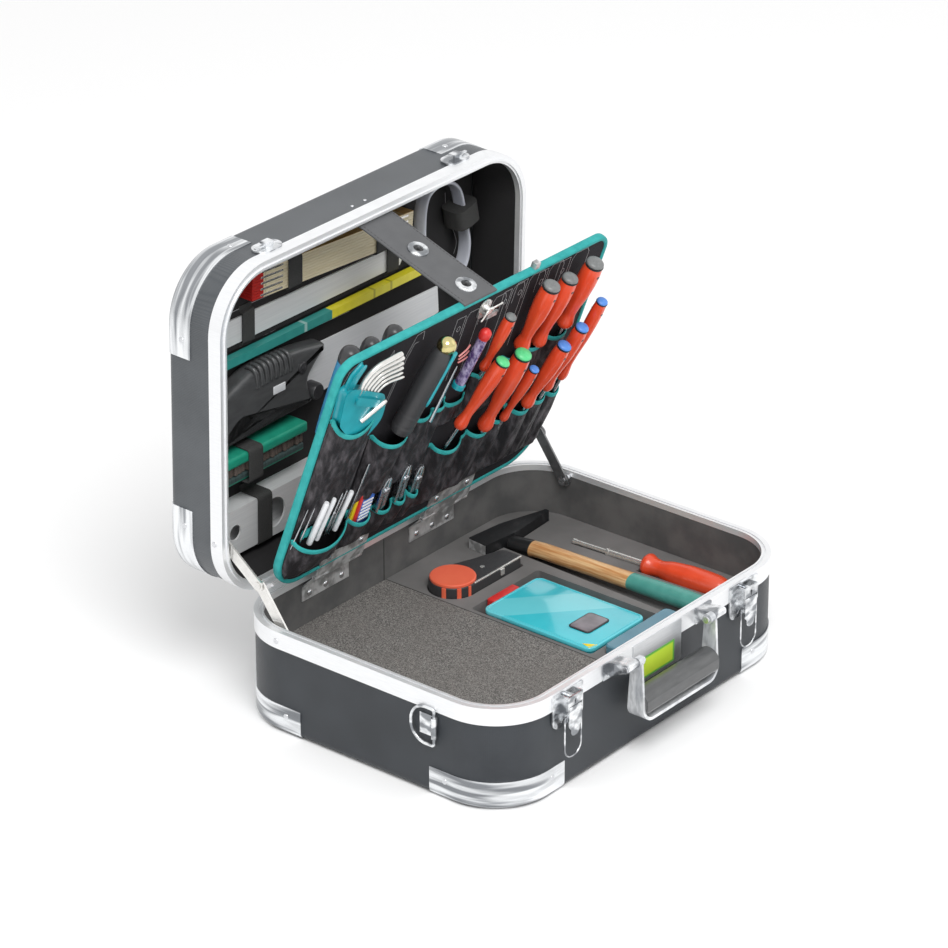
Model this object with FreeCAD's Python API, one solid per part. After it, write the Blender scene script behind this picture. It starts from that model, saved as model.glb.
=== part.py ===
import FreeCAD, Part
import math
import os

# A hard tool case standing open, in millimetres. +Z is up, the latches face -Y and the lid hinge is
# at +Y. The origin is the middle of the base's underside. Lid pieces are drawn on the closed case and
# then opened; pallet pieces are drawn upright about the pallet's hinge axis and then leaned.

# Clearances
play = 0.3
running = 0.05
seat_gap = 0.1
overrun = 2.0
same = 0.001

# Case
case_width = 460.0
case_depth = 345.3
base_height = 108.3
lid_height = 68.1
rim_gap = 0.4
corner_radius = 64.0
edge_round = 7.0
shell_wall = 3.0
inner_round = 4.0
lining = 5.0

# Rim frames
frame_sheet = 1.0
frame_width = 9.5
frame_web = 2.6
lip_height = 6.4
base_band = 18.0
lid_band = 15.0
groove_inset = 5.2
groove_width = 2.4
groove_depth = 1.6
tongue_height = 1.6

# Corner caps and rivets
cap_sheet = 1.0
cap_height = 29.5
cap_lift = 0.5
cap_front_reach = 88.5
cap_side_reach = 92.5
rivet_radius = 3.0
rivet_head = 1.0
rivet_shares = ((0.0, 1.0), (0.4, 0.93), (0.8, 0.62), (1.0, 0.0))
cap_rivet_from_end = 18.5
cap_rivet_rise = 19.0

# Lid hinges
lid_open = 88.9
hinge_back = 2.7
hinge_drop = 1.0
hinge_centre = 130.0
hinge_width = 60.0
hinge_end_knuckle = 17.0
hinge_leaf_height = 13.0
leaf_sheet = 1.4
knuckle_radius = 2.4
hinge_pin = 1.2

# Foam in the base
foam_top = 55.0
seam_x = -4.0
foam_relief = 0.6

# Latches
latch_centre = 139.5
latch_plate_width = 46.0
latch_plate_height = 36.0
latch_plate_drop = 2.3
latch_plate_round = 8.0
latch_sheet = 1.6
housing_depth = 9.0
housing_width = 22.0
cheek_wall = 1.2
cheek_drop = 4.3
cheek_front_low = 21.3
cheek_waist_low = 29.3
cheek_foot_low = 34.3
cheek_waist_back = 6.75
lock_face_drop = 4.8
lock_face_low = 15.3
lock_sheet = 1.4
lock_barrel = 4.2
keyhole_radius = 1.6
keyhole_slot = 1.1
keyhole_length = 4.4
lever_width = 18.6
lever_sheet = 1.4
lever_pivot_low = 18.3
lever_pin = 0.8
lever_roll = 1.65
lever_length = 30.0
lever_waist = 19.0
lever_tab_width = 13.0
lever_flange_depth = 3.0
lever_flange_length = 13.0
lever_flange_gap = 1.5
bail_wire = 0.9
bail_pivot_low = 27.3
bail_set_back = 2.85
bail_half_width = 12.4
bail_length = 45.0
bail_grip = 3.8

# Catches on the lid
catch_centre = 140.5
catch_rise = 20.3
catch_width = 34.0
catch_height = 20.0
catch_sheet = 1.6
hook_width = 11.0
hook_height = 8.0
hook_stand = 5.0
hook_sheet = 2.0
tongue_length = 17.0
tongue_width = 3.0
tongue_lift = 2.4

# Carrying handle
handle_half_width = 60.0
handle_strip = 3.0
handle_pin_low = 1.8
handle_pin_out = 20.85
handle_pin = 2.5
handle_drop = 63.5
handle_round = 15.0
handle_top_depth = 13.0
handle_foot_depth = 21.0
handle_eye = 5.2
handle_eye_width = 7.0
grip_radius = 13.5
grip_rise = 18.0
bracket_width = 17.0
bracket_plate_width = 26.0
bracket_sheet = 1.5
bracket_height = 17.0
bracket_drop = 0.8
bracket_knuckle = 4.6
pin_end_radius = 3.6
pin_end_length = 3.0

# Blank front plate
front_plate_width = 76.0
front_plate_height = 45.0
front_plate_drop = 1.0
front_plate_sheet = 1.2
front_plate_round = 5.0

# Shoulder strap rings
ring_front = 88.0
ring_height = 39.0
ring_reach = 28.0
ring_drop = 34.8
ring_wire = 1.6
lug_sheet = 1.0
lug_height = 22.0
lug_reach = 19.0
lug_knuckle = 3.0

# Pallet
pallet_lean = 20.0
pallet_axis_inset = 25.65
pallet_axis_rise = 4.7
pallet_hinge_centres = (-96.0, 68.0)
pallet_hinge_width = 70.0
pallet_end_knuckle = 20.0
pallet_leaf_sheet = 1.2
pallet_leaf_top = 33.0
pallet_pin = 1.1
wall_leaf_low = 31.0
wall_leaf_bend = 15.0
board_side_gap = 28.5
board_height = 286.0
board_bottom = 15.0
board_set = 1.2
board_sheet = 6.0
board_top_round = 18.0
board_foot_round = 42.0
piping_out = 1.5
piping_in = 3.0
piping_over = 1.0

# Lid stays
stay_width = 12.0
stay_sheet = 2.0
stay_base_y = 109.5
stay_base_drop = 10.3
stay_elbow_y = 141.4
stay_elbow_rise = 34.2
stay_lid_y = 106.0
stay_lid_rise = 10.3
stay_stud_radius = 2.5
stay_washer = 7.0
stay_head = 4.6
stay_head_length = 1.6
stay_wall_gap = 1.7
stay_washer_gap = 0.8
stay_layer_gap = 0.6
elbow_head = 4.0
elbow_head_length = 1.0

# Strap between lid and pallet
strap_width = 56.0
strap_centre = -3.0
strap_sheet = 2.5
strap_tab = 28.0
strap_tab_start = 2.0
snap_radius = 7.0
snap_hole = 2.8
snap_height = 1.6
snap_shares = (0.43, 0.87)
strap_rivet_radius = 1.8
strap_rivet_spacing = 19.0
strap_rivet_rise = 23.3

# Turn lock and clips on the pallet's top edge
turn_lock_width = 16.0
turn_lock_height = 12.0
turn_lock_base = 2.0
turn_lock_stem = 3.0
turn_lock_out = 9.0
turn_lock_shares = (0.05, 0.93)
edge_block = 7.0
edge_block_share = 0.42

# Screwdrivers on the pallet: across and up the board at head and foot, then thickness
driver_radius = 10.5
rear_head_proud = 18.0
rear_foot_proud = 8.0
front_head_proud = 27.5
front_foot_proud = 13.0
rear_driver_shares = (
    (0.17, 0.91, 0.17, 0.66, 0.62),
    (0.45, 0.96, 0.45, 0.67, 0.97),
    (0.60, 0.952, 0.60, 0.645, 0.90),
    (0.787, 0.964, 0.787, 0.675, 1.0),
)
front_driver_shares = (
    (0.153, 0.74, 0.085, 0.44, 0.80),
    (0.323, 0.72, 0.323, 0.36, 0.95),
    (0.48, 0.61, 0.48, 0.35, 0.56),
    (0.69, 0.65, 0.655, 0.36, 0.80),
    (0.80, 0.70, 0.79, 0.397, 0.76),
    (0.905, 0.787, 0.905, 0.41, 0.64),
)
driver_body_shares = (
    (0.0, 0.62), (0.04, 0.78), (0.10, 0.74), (0.20, 0.58), (0.34, 0.66),
    (0.55, 0.90), (0.75, 1.0), (0.90, 0.96), (1.0, 0.84),
)
driver_cap_shares = ((0.0, 0.88), (0.35, 0.86), (0.7, 0.66), (1.0, 0.2))
driver_cap = 7.0
driver_blade = 2.2
rear_blade_length = 24.0
front_blade_length = 48.0

# Pockets on the pallet, each by its sides, mouth, foot, depth at the mouth and depth at the foot
pocket_depth = 20.0
pocket_shares = {
    "rear_drivers": (0.11, 0.90, 0.635, 0.52, 0.50, 0.40),
    "front_drivers": (0.03, 0.97, 0.335, 0.10, 0.80, 0.25),
    "hex_keys": (-0.98, -0.60, 0.80, 0.62, 0.62, 0.35),
    "knife": (-0.585, -0.20, 0.575, 0.36, 0.90, 0.40),
    "tester": (-0.09, 0.07, 0.63, 0.45, 0.50, 0.30),
    "rods": (-0.94, -0.56, 0.24, 0.075, 0.90, 0.30),
    "card": (-0.54, -0.40, 0.19, 0.075, 0.55, 0.30),
    "heads": (-0.38, -0.02, 0.235, 0.10, 0.60, 0.30),
}
back_pocket_shares = (-0.97, -0.46, 0.62, 0.20)
back_pocket_depth = 14.0

# Hex keys, cable knife and tester
key_count = 7
key_wire = 2.2
key_spread_shares = (-0.92, -0.66)
key_rise_shares = (0.985, 0.90)
key_proud = 8.0
key_arm = 16.0
knife_shares = (-0.34, 0.93, -0.44, 0.584)
knife_radius = 11.5
knife_head_proud = 19.0
knife_foot_proud = 12.5
knife_body_shares = (
    (0.0, 0.85), (0.06, 1.0), (0.3, 0.94), (0.6, 1.0), (0.88, 0.97), (1.0, 0.75),
)
knife_ball = 9.5
tester_shares = (0.03, 0.885, -0.02, 0.6335)
tester_radius = 5.4
tester_head_proud = 14.0
tester_foot_proud = 9.0
tester_body_shares = ((0.0, 0.9), (0.1, 1.0), (0.5, 0.96), (0.9, 1.0), (1.0, 0.8))

# Small tools standing in the lower pockets: across, head, thickness as shares
rod_radius = 2.6
rod_proud = 9.0
rod_shares = (
    (-0.93, 0.37, 0.5), (-0.89, 0.385, 0.5), (-0.84, 0.40, 1.1), (-0.79, 0.41, 0.9),
    (-0.74, 0.42, 0.8), (-0.70, 0.43, 0.7), (-0.60, 0.56, 0.5),
)
card_shares = ((-0.53, 0.30, 0.7), (-0.50, 0.35, 0.5), (-0.465, 0.33, 0.9))
card_width = 9.0
card_sheet = 5.0
head_shares = ((-0.34, 0.33), (-0.20, 0.34), (-0.08, 0.30))
head_width = 15.0
head_depth = 9.0

# Pliers behind the pallet
plier_radius = 6.2
plier_proud = 14.0
plier_head_share = 1.01
plier_shares = ((-0.88, -0.86), (-0.80, -0.76), (-0.61, -0.63), (-0.49, -0.52))
plier_body_shares = ((0.0, 0.7), (0.2, 0.85), (0.6, 1.0), (0.9, 1.0), (1.0, 0.55))

# Tools and boxes in the foam: places and lengths across it, as shares of the room right of the middle
tape_across_shares = (0.1155, 0.4266)
hammer_across_shares = (0.6205, 0.163, 0.30)
long_driver_share = 0.8514
parts_across_shares = (0.0091, 0.4121)
clear_across_shares = (0.0543, 0.4529)
pocket_right_share = 0.49

# Tape measure
tape_y = 100.0
tape_radius = 25.0
tape_nose_share = 0.05
tape_height = 27.0
tape_sunk = 16.0
tape_round = 3.0
dial_radius = 23.5
dial_height = 3.0

# Hammer
hammer_y = 126.5
hammer_turn = -6.0
hammer_face = 25.0
hammer_height = 24.0
hammer_pein = 5.0
hammer_sunk = 13.0
hammer_length = 258.0
hammer_slant = -2.1
haft_gap = 0.2
haft_width = 22.0
haft_height = 20.0
haft_shares = ((0.0, 0.86), (0.10, 0.84), (0.24, 0.82), (0.42, 0.86), (0.62, 0.84), (0.84, 1.0), (1.0, 0.92))

# Long screwdriver in the foam
long_driver_slant = -3.0
long_driver_front = -117.0
long_driver_radius = 14.0
long_driver_grip = 96.0
long_driver_blade = 88.0
long_driver_rod = 2.6
long_driver_rise = 2.0
long_driver_shares = (
    (0.0, 0.72), (0.05, 0.86), (0.22, 0.98), (0.45, 1.0), (0.66, 0.86), (0.80, 0.66), (0.88, 0.72),
    (0.95, 0.92), (1.0, 0.80),
)

# Flat boxes in the foam
box_front = -92.0
box_length = 137.0
box_height = 22.0
box_proud = 4.0
box_round = 9.0
clear_front = -150.0
clear_length = 50.0
clear_height = 30.0
clear_proud = 9.0
clear_round = 6.0
pocket_length = 150.0
pocket_round = 4.0
edge_soft = 1.5

# Things held in the lid, as shares of half the case's width and depth
lid_board_sheet = 2.0
rule_length = 240.0
rule_width = 30.0
rule_height = 16.0
rule_turn = 3.5
rule_end_shares = (0.4708, -0.6076)
rule_sticks = 10
rule_stick_gap = 0.4
toothed_shares = ((-0.90, -0.50), (0.43, -0.47), (0.49, -0.40), (0.46, -0.335), (-0.90, -0.34))
toothed_sheet = 2.0
toothed_loop_shares = {"toothed_left": (-0.505, -0.33), "toothed_right": (-0.475, -0.33)}
bar_shares = (-0.92, 0.57, -0.275)
bar_width = 9.0
bar_height = 13.0
saw_grip_shares = (
    (-0.88, -0.03), (-0.757, -0.115), (-0.60, -0.197), (-0.378, -0.203), (-0.104, -0.15), (-0.252, 0.012),
    (-0.20, 0.185), (-0.59, 0.162), (-0.652, 0.07), (-0.717, 0.116), (-0.748, 0.24), (-0.86, 0.24),
)
saw_grip_height = 22.0
saw_grip_round = 5.0
saw_blade_shares = ((-0.45, -0.14), (0.67, -0.12), (0.68, 0.052), (-0.15, 0.19), (-0.45, 0.15))
saw_blade_sheet = 1.4
saw_blade_lift = 10.0
plane_shares = (-0.80, -0.27, 0.26, 0.45)
plane_height = 27.0
plane_round = 4.0
level_shares = (-0.84, 0.84, 0.75)
level_width = 50.0
level_height = 22.0
level_wall = 2.0
level_hole = 8.0
level_hole_shares = (-0.72, 0.72)
level_vial = 16.0
level_vial_shares = (-0.47, 0.47)
hacksaw_shares = (
    (0.505, -0.82), (0.68, -0.77), (0.80, -0.64), (0.92, -0.34), (0.91, -0.12), (0.80, -0.02), (0.70, -0.10),
    (0.765, -0.26), (0.68, -0.44), (0.64, -0.60), (0.59, -0.64), (0.58, -0.44), (0.515, -0.44),
)
hacksaw_height = 30.0
hacksaw_round = 4.0
loop_sheet = 1.5
loop_width = 17.0
loop_slack = 1.0
loop_shares = {"rule_left": -0.31, "rule_right": 0.26, "toothed_left": -0.54, "toothed_right": 0.40,
               "plane": -0.62, "level_left": -0.54, "level_right": 0.55}

half_width = case_width / 2
half_depth = case_depth / 2
lid_rim = base_height + rim_gap
lid_top = lid_rim + lid_height
shell_inset = frame_sheet + seat_gap
lining_inset = shell_inset + shell_wall + seat_gap
clear_inset = lining_inset + lining
hinge_y = half_depth + hinge_back
hinge_z = base_height - hinge_drop
lid_face = lid_top - shell_wall - lid_board_sheet
pallet_y = half_depth - pallet_axis_inset
pallet_z = base_height + pallet_axis_rise
wall_y = half_depth - clear_inset
board_width = case_width - board_side_gap * 2
bay = half_width - clear_inset
tape_x, tape_length = [share * bay for share in tape_across_shares]
hammer_x, hammer_left, hammer_right = [share * bay for share in hammer_across_shares]
long_driver_x = long_driver_share * bay
box_left, box_width = [share * bay for share in parts_across_shares]
clear_left, clear_width = [share * bay for share in clear_across_shares]
pocket_right = pocket_right_share * bay


def vector(x, y, z):
    return FreeCAD.Vector(x, y, z)


across, backward, upward = vector(1, 0, 0), vector(0, 1, 0), vector(0, 0, 1)


def box(x0, x1, y0, y1, z0, z1):
    return Part.makeBox(x1 - x0, y1 - y0, z1 - z0, vector(x0, y0, z0))


def rod(radius, start, end):
    return Part.makeCylinder(radius, (end - start).Length, start, end - start)


def cross_rod(radius, y, z, x0, x1):
    return rod(radius, vector(x0, y, z), vector(x1, y, z))


def fused(first, *others):
    return first.fuse(list(others)).removeSplitter()


def mirrored(shape):
    return shape.mirror(vector(0, 0, 0), across)


def both(shape):
    return [shape, mirrored(shape)]


# Edges through the points in turn, each corner turned by an arc of its own radius
def bent_edges(points, radii, closed):
    count = len(points)
    spans = []
    for index, here in enumerate(points):
        at_end = not closed and index in (0, count - 1)
        if at_end or not radii[index]:
            spans.append((here, None, here))
            continue
        back = (points[index - 1] - here).normalize()
        ahead = (points[(index + 1) % count] - here).normalize()
        half = back.getAngle(ahead) / 2
        inward = (back + ahead).normalize()
        reach = radii[index] / math.tan(half)
        nearest = here + inward * (radii[index] / math.sin(half) - radii[index])
        spans.append((here + back * reach, nearest, here + ahead * reach))
    edges = []
    for index, (start, middle, end) in enumerate(spans):
        if middle:
            edges.append(Part.Arc(start, middle, end).toShape())
        if not closed and index == count - 1:
            break
        following = spans[(index + 1) % count][0]
        if (following - end).Length > same:
            edges.append(Part.makeLine(end, following))
    return edges


# An outline of two coordinates, carried along the third axis from start to end
def prism(points, radius, axis, start, end):
    radii = radius if isinstance(radius, (list, tuple)) else [radius] * len(points)
    if axis == "x":
        corners = [vector(start, a, b) for a, b in points]
        direction = across
    elif axis == "y":
        corners = [vector(a, start, b) for a, b in points]
        direction = backward
    else:
        corners = [vector(a, b, start) for a, b in points]
        direction = upward
    wire = Part.Wire(bent_edges(corners, radii, True))
    return Part.Face(wire).extrude(direction * (end - start))


def rectangle(a0, a1, b0, b1):
    return [(a0, b0), (a1, b0), (a1, b1), (a0, b1)]


# A round bar bent along the points
def bent_rod(points, radii, radius, closed):
    path = Part.Wire(bent_edges(points, radii, closed))
    first = path.OrderedEdges[0]
    start = first.valueAt(first.FirstParameter)
    heading = first.tangentAt(first.FirstParameter)
    section = Part.Wire([Part.Circle(start, heading, radius).toShape()])
    return path.makePipeShell([section], True, False)


# A solid turned about the line from start to end; shares run along it and out from it
def turned(start, end, radius, shares):
    length = (end - start).Length
    points = [vector(radius * out, 0, length * along) for along, out in shares]
    curve = Part.BSplineCurve()
    curve.interpolate(points)
    foot, head = vector(0, 0, points[0].z), vector(0, 0, points[-1].z)
    edges = [curve.toShape()]
    if points[-1].x > same:
        edges.append(Part.makeLine(points[-1], head))
    edges.append(Part.makeLine(head, foot))
    edges.append(Part.makeLine(foot, points[0]))
    solid = Part.Face(Part.Wire(edges)).revolve(vector(0, 0, 0), upward, 360)
    solid.Placement = FreeCAD.Placement(start, FreeCAD.Rotation(upward, end - start))
    return solid


# A bent sheet: its middle line in (y, z), thickened evenly to both sides and carried from x0 to x1
def sheet_run(line, sheet, x0, x1):
    headings = []
    for start, end in zip(line, line[1:]):
        span = math.hypot(end[0] - start[0], end[1] - start[1])
        headings.append(((end[0] - start[0]) / span, (end[1] - start[1]) / span))
    left, right = [], []
    for index, (y, z) in enumerate(line):
        before = headings[max(index - 1, 0)]
        after = headings[min(index, len(headings) - 1)]
        turn = 1 + before[0] * after[0] + before[1] * after[1]
        out_y = -(before[1] + after[1]) / turn * sheet / 2
        out_z = (before[0] + after[0]) / turn * sheet / 2
        left.append((y + out_y, z + out_z))
        right.append((y - out_y, z - out_z))
    return prism(left + right[::-1], 0, "x", x0, x1)


# A flat link with round ends between two points of (y, z)
def link(start, end, width, x0, x1):
    span = math.hypot(end[0] - start[0], end[1] - start[1])
    side_y = -(end[1] - start[1]) / span * width / 2
    side_z = (end[0] - start[0]) / span * width / 2
    corners = [(start[0] + side_y, start[1] + side_z), (end[0] + side_y, end[1] + side_z),
               (end[0] - side_y, end[1] - side_z), (start[0] - side_y, start[1] - side_z)]
    ends = [cross_rod(width / 2, y, z, x0, x1) for y, z in (start, end)]
    return fused(prism(corners, 0, "x", x0, x1), *ends)


# Rounds the edges that lie flat at one height
def soften(shape, radius, level):
    edges = [edge for edge in shape.Edges
             if abs(edge.BoundBox.ZMin - level) < same and abs(edge.BoundBox.ZMax - level) < same]
    return shape.makeFillet(radius, edges)


def opened(shape):
    turned_shape = shape.copy()
    turned_shape.rotate(vector(0, hinge_y, hinge_z), across, -lid_open)
    return turned_shape


def opened_point(y, z):
    angle = math.radians(lid_open)
    back, up = y - hinge_y, z - hinge_z
    return (hinge_y + back * math.cos(angle) + up * math.sin(angle),
            hinge_z - back * math.sin(angle) + up * math.cos(angle))


def leaned(shape):
    turned_shape = shape.copy()
    turned_shape.rotate(vector(0, 0, 0), across, pallet_lean)
    turned_shape.translate(vector(0, pallet_y, pallet_z))
    return turned_shape


def leaned_point(y, z):
    angle = math.radians(pallet_lean)
    return (pallet_y + y * math.cos(angle) - z * math.sin(angle),
            pallet_z + y * math.sin(angle) + z * math.cos(angle))


# Lid walls are drawn as an upright tray and turned over onto the base
def turned_over(shape):
    flipped = shape.mirror(vector(0, 0, 0), upward)
    flipped.translate(vector(0, 0, lid_top))
    return flipped


def save(name, *pieces):
    solids = [solid for piece in pieces for solid in piece.Solids]
    shape = solids[0] if len(solids) == 1 else Part.Compound(solids)
    shape.exportStep("parts/%s.step" % name)
    print("%s: %d solids" % (name, len(solids)))


# The case's outline, drawn in by an inset
def case_slab(inset, z0, z1):
    a, b = half_width - inset, half_depth - inset
    return prism(rectangle(-a, a, -b, b), corner_radius - inset, "z", z0, z1)


def case_ring(outer, inner, z0, z1):
    return case_slab(outer, z0, z1).cut(case_slab(inner, z0 - overrun, z1 + overrun))


def tray_outside(height):
    return soften(case_slab(shell_inset, 0, height), edge_round, 0)


def tray_shell(height):
    hollow = case_slab(shell_inset + shell_wall, shell_wall, height + overrun)
    return tray_outside(height - frame_web - seat_gap).cut(soften(hollow, inner_round, shell_wall))


def rim_frame(height, band):
    leg = case_ring(0, frame_sheet, height - band, height)
    web = case_ring(0, frame_width, height - frame_web, height)
    lip = case_ring(frame_width - frame_sheet, frame_width, height - lip_height, height)
    return fused(leg, web, lip)


def wall_lining(height):
    low = shell_wall + inner_round + seat_gap
    return case_ring(lining_inset, clear_inset, low, height - lip_height - seat_gap)


def corner_caps():
    skin = case_slab(shell_inset - cap_sheet, -cap_sheet, cap_height)
    skin = soften(skin, edge_round + cap_sheet, -cap_sheet)
    skin = skin.cut(tray_outside(base_height))
    inner_x, inner_y = half_width - cap_front_reach, half_depth - cap_side_reach
    corner = box(inner_x, half_width, inner_y, half_depth, cap_lift, cap_height + overrun)
    back = both(skin.common(corner))
    front = both(skin.common(corner.mirror(vector(0, 0, 0), backward)))
    return back + front


def rivet(place, direction, radius):
    return turned(place, place + direction * rivet_head, radius, rivet_shares)


def cap_rivets():
    face_x = half_width - shell_inset + cap_sheet
    face_y = half_depth - shell_inset + cap_sheet
    at_x = half_width - cap_front_reach + cap_rivet_from_end
    at_y = half_depth - cap_side_reach + cap_rivet_from_end
    rivets = []
    for side in (-1, 1):
        rivets += both(rivet(vector(at_x, side * face_y, cap_rivet_rise), backward * side, rivet_radius))
        rivets += both(rivet(vector(face_x, side * at_y, cap_rivet_rise), across, rivet_radius))
    return rivets


# A stay's stud: outer head, shank through the wall, washer, neck and inner head, on the right side
def stay_stud(y, z, link_outside):
    wall_x = half_width - clear_inset - stay_washer_gap
    washer_end = link_outside + play
    head_start = link_outside - stay_sheet - play
    washer = cross_rod(stay_washer, y, z, washer_end, wall_x)
    shank = cross_rod(stay_stud_radius, y, z, head_start, half_width)
    head = cross_rod(stay_head, y, z, head_start - stay_head_length, head_start)
    outside = rivet(vector(half_width, y, z), across, rivet_radius)
    return fused(washer, shank, head, outside)


def stud_holes(y, z):
    wide = half_width + overrun
    return both(cross_rod(stay_stud_radius + seat_gap, y, z, half_width - clear_inset - overrun, wide))


stay_base = (stay_base_y, base_height - stay_base_drop)
stay_elbow = (stay_elbow_y, base_height + stay_elbow_rise)
stay_lid = (stay_lid_y, lid_rim + stay_lid_rise)
upper_link_x = half_width - clear_inset - stay_wall_gap
lower_link_x = upper_link_x - stay_sheet - stay_layer_gap


def base_case():
    holes = stud_holes(*stay_base)
    groove = case_ring(groove_inset, groove_inset + groove_width, base_height - groove_depth,
                       base_height + overrun)
    save("base_shell", tray_shell(base_height).cut(holes))
    save("base_frame", rim_frame(base_height, base_band).cut([groove] + holes))
    save("base_lining", wall_lining(base_height).cut(holes))
    save("base_corner_caps", *corner_caps())
    studs = both(stay_stud(*stay_base, lower_link_x))
    save("base_rivets", *(cap_rivets() + studs))


def lid_case():
    holes = stud_holes(*stay_lid)
    tongue = case_ring(groove_inset + play, groove_inset + groove_width - play, lid_height,
                       lid_height + tongue_height)
    frame = turned_over(fused(rim_frame(lid_height, lid_band), tongue))
    save("lid_shell", opened(turned_over(tray_shell(lid_height)).cut(holes)))
    save("lid_frame", opened(frame.cut(holes)))
    save("lid_lining", opened(turned_over(wall_lining(lid_height)).cut(holes)))
    save("lid_board", opened(case_slab(clear_inset + seat_gap, lid_face, lid_face + lid_board_sheet)))
    save("lid_corner_caps", *[opened(turned_over(cap)) for cap in corner_caps()])
    rivets = [turned_over(head) for head in cap_rivets()] + both(stay_stud(*stay_lid, upper_link_x))
    for side in (-1, 1):
        place = vector(strap_centre + side * strap_rivet_spacing / 2, shell_inset - half_depth,
                       lid_rim + strap_rivet_rise)
        rivets.append(rivet(place, -backward, strap_rivet_radius))
    save("lid_rivets", *[opened(head) for head in rivets])


def lid_hinges():
    x0, x1 = hinge_centre - hinge_width / 2, hinge_centre + hinge_width / 2
    inner, outer = x0 + hinge_end_knuckle, x1 - hinge_end_knuckle
    back = half_depth + leaf_sheet
    low, high = hinge_z - knuckle_radius - play, hinge_z + knuckle_radius + play
    bore = cross_rod(hinge_pin + running, hinge_y, hinge_z, x0 - overrun, x1 + overrun)
    base_leaf = fused(box(x0, x1, half_depth, back, low - hinge_leaf_height, low),
                      box(x0, inner, half_depth, back, low - seat_gap, hinge_z),
                      box(outer, x1, half_depth, back, low - seat_gap, hinge_z),
                      cross_rod(knuckle_radius, hinge_y, hinge_z, x0, inner),
                      cross_rod(knuckle_radius, hinge_y, hinge_z, outer, x1)).cut(bore)
    lid_leaf = fused(box(x0, x1, half_depth, back, high, high + hinge_leaf_height),
                     box(inner + play, outer - play, half_depth + play, back, hinge_z, high + seat_gap),
                     cross_rod(knuckle_radius, hinge_y, hinge_z, inner + play, outer - play)).cut(bore)
    save("lid_hinge_base_leaves", *both(base_leaf))
    save("lid_hinge_lid_leaves", *[opened(leaf) for leaf in both(lid_leaf)])
    return both(cross_rod(hinge_pin, hinge_y, hinge_z, x0, x1))


def pallet_hinges():
    path = [(pallet_y, pallet_z), (wall_y - pallet_leaf_sheet / 2 - seat_gap, pallet_z - wall_leaf_bend),
            (wall_y - pallet_leaf_sheet / 2 - seat_gap, pallet_z - wall_leaf_low)]
    base_leaves, pins, board_leaves = [], [], []
    for centre in pallet_hinge_centres:
        x0, x1 = centre - pallet_hinge_width / 2, centre + pallet_hinge_width / 2
        inner, outer = x0 + pallet_end_knuckle, x1 - pallet_end_knuckle
        leaf = fused(sheet_run(path, pallet_leaf_sheet, x0, x1),
                     cross_rod(knuckle_radius, pallet_y, pallet_z, x0, inner),
                     cross_rod(knuckle_radius, pallet_y, pallet_z, outer, x1))
        room = cross_rod(knuckle_radius + play, pallet_y, pallet_z, inner, outer)
        bore = cross_rod(pallet_pin + running, pallet_y, pallet_z, x0 - overrun, x1 + overrun)
        base_leaves.append(leaf.cut([room, bore]))
        pins.append(cross_rod(pallet_pin, pallet_y, pallet_z, x0, x1))
        front = -(board_set + pallet_leaf_sheet)
        plate = box(x0, x1, front, -board_set, knuckle_radius + play, pallet_leaf_top)
        web = box(inner + play, outer - play, front, -board_set, 0, knuckle_radius + play)
        roll = cross_rod(knuckle_radius, 0, 0, inner + play, outer - play)
        bore_here = cross_rod(pallet_pin + running, 0, 0, x0, x1)
        board_leaves.append(fused(plate, web, roll).cut(bore_here))
    save("pallet_hinge_base_leaves", *base_leaves)
    return pins, board_leaves


lock_y = -half_depth - latch_sheet - housing_depth
lever_y = lock_y + lever_roll
lever_z = base_height - lever_pivot_low
bail_y = lock_y + bail_set_back
bail_z = base_height - bail_pivot_low


def latch_housing():
    plate_front = -half_depth - latch_sheet
    top = base_height - latch_plate_drop
    half = latch_plate_width / 2
    plate = prism(rectangle(latch_centre - half, latch_centre + half, top - latch_plate_height, top),
                  [latch_plate_round, latch_plate_round, latch_sheet, latch_sheet], "y",
                  plate_front, -half_depth)
    side = [(plate_front, base_height - cheek_drop), (lock_y, base_height - cheek_drop),
            (lock_y, base_height - cheek_front_low),
            (lock_y + cheek_waist_back, base_height - cheek_waist_low),
            (plate_front, base_height - cheek_foot_low)]
    x0, x1 = latch_centre - housing_width / 2, latch_centre + housing_width / 2
    cheeks = [prism(side, [0, latch_sheet, 0, latch_sheet, 0], "x", start, start + cheek_wall)
              for start in (x0, x1 - cheek_wall)]
    low, high = base_height - lock_face_low, base_height - lock_face_drop
    face = box(x0, x1, lock_y, lock_y + lock_sheet, low, high)
    key_z = (low + high) / 2
    barrel = rod(lock_barrel, vector(latch_centre, plate_front, key_z), vector(latch_centre, lock_y, key_z))
    depth = lock_y + lock_sheet * 2
    keyhole = rod(keyhole_radius, vector(latch_centre, lock_y - overrun, key_z),
                  vector(latch_centre, depth, key_z))
    slot = box(latch_centre - keyhole_slot / 2, latch_centre + keyhole_slot / 2, lock_y - overrun, depth,
               key_z - keyhole_length, key_z)
    pin_hole = cross_rod(lever_pin + running, lever_y, lever_z, x0 - overrun, x1 + overrun)
    return fused(plate, *cheeks, face, barrel).cut([keyhole, slot, pin_hole])


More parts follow.
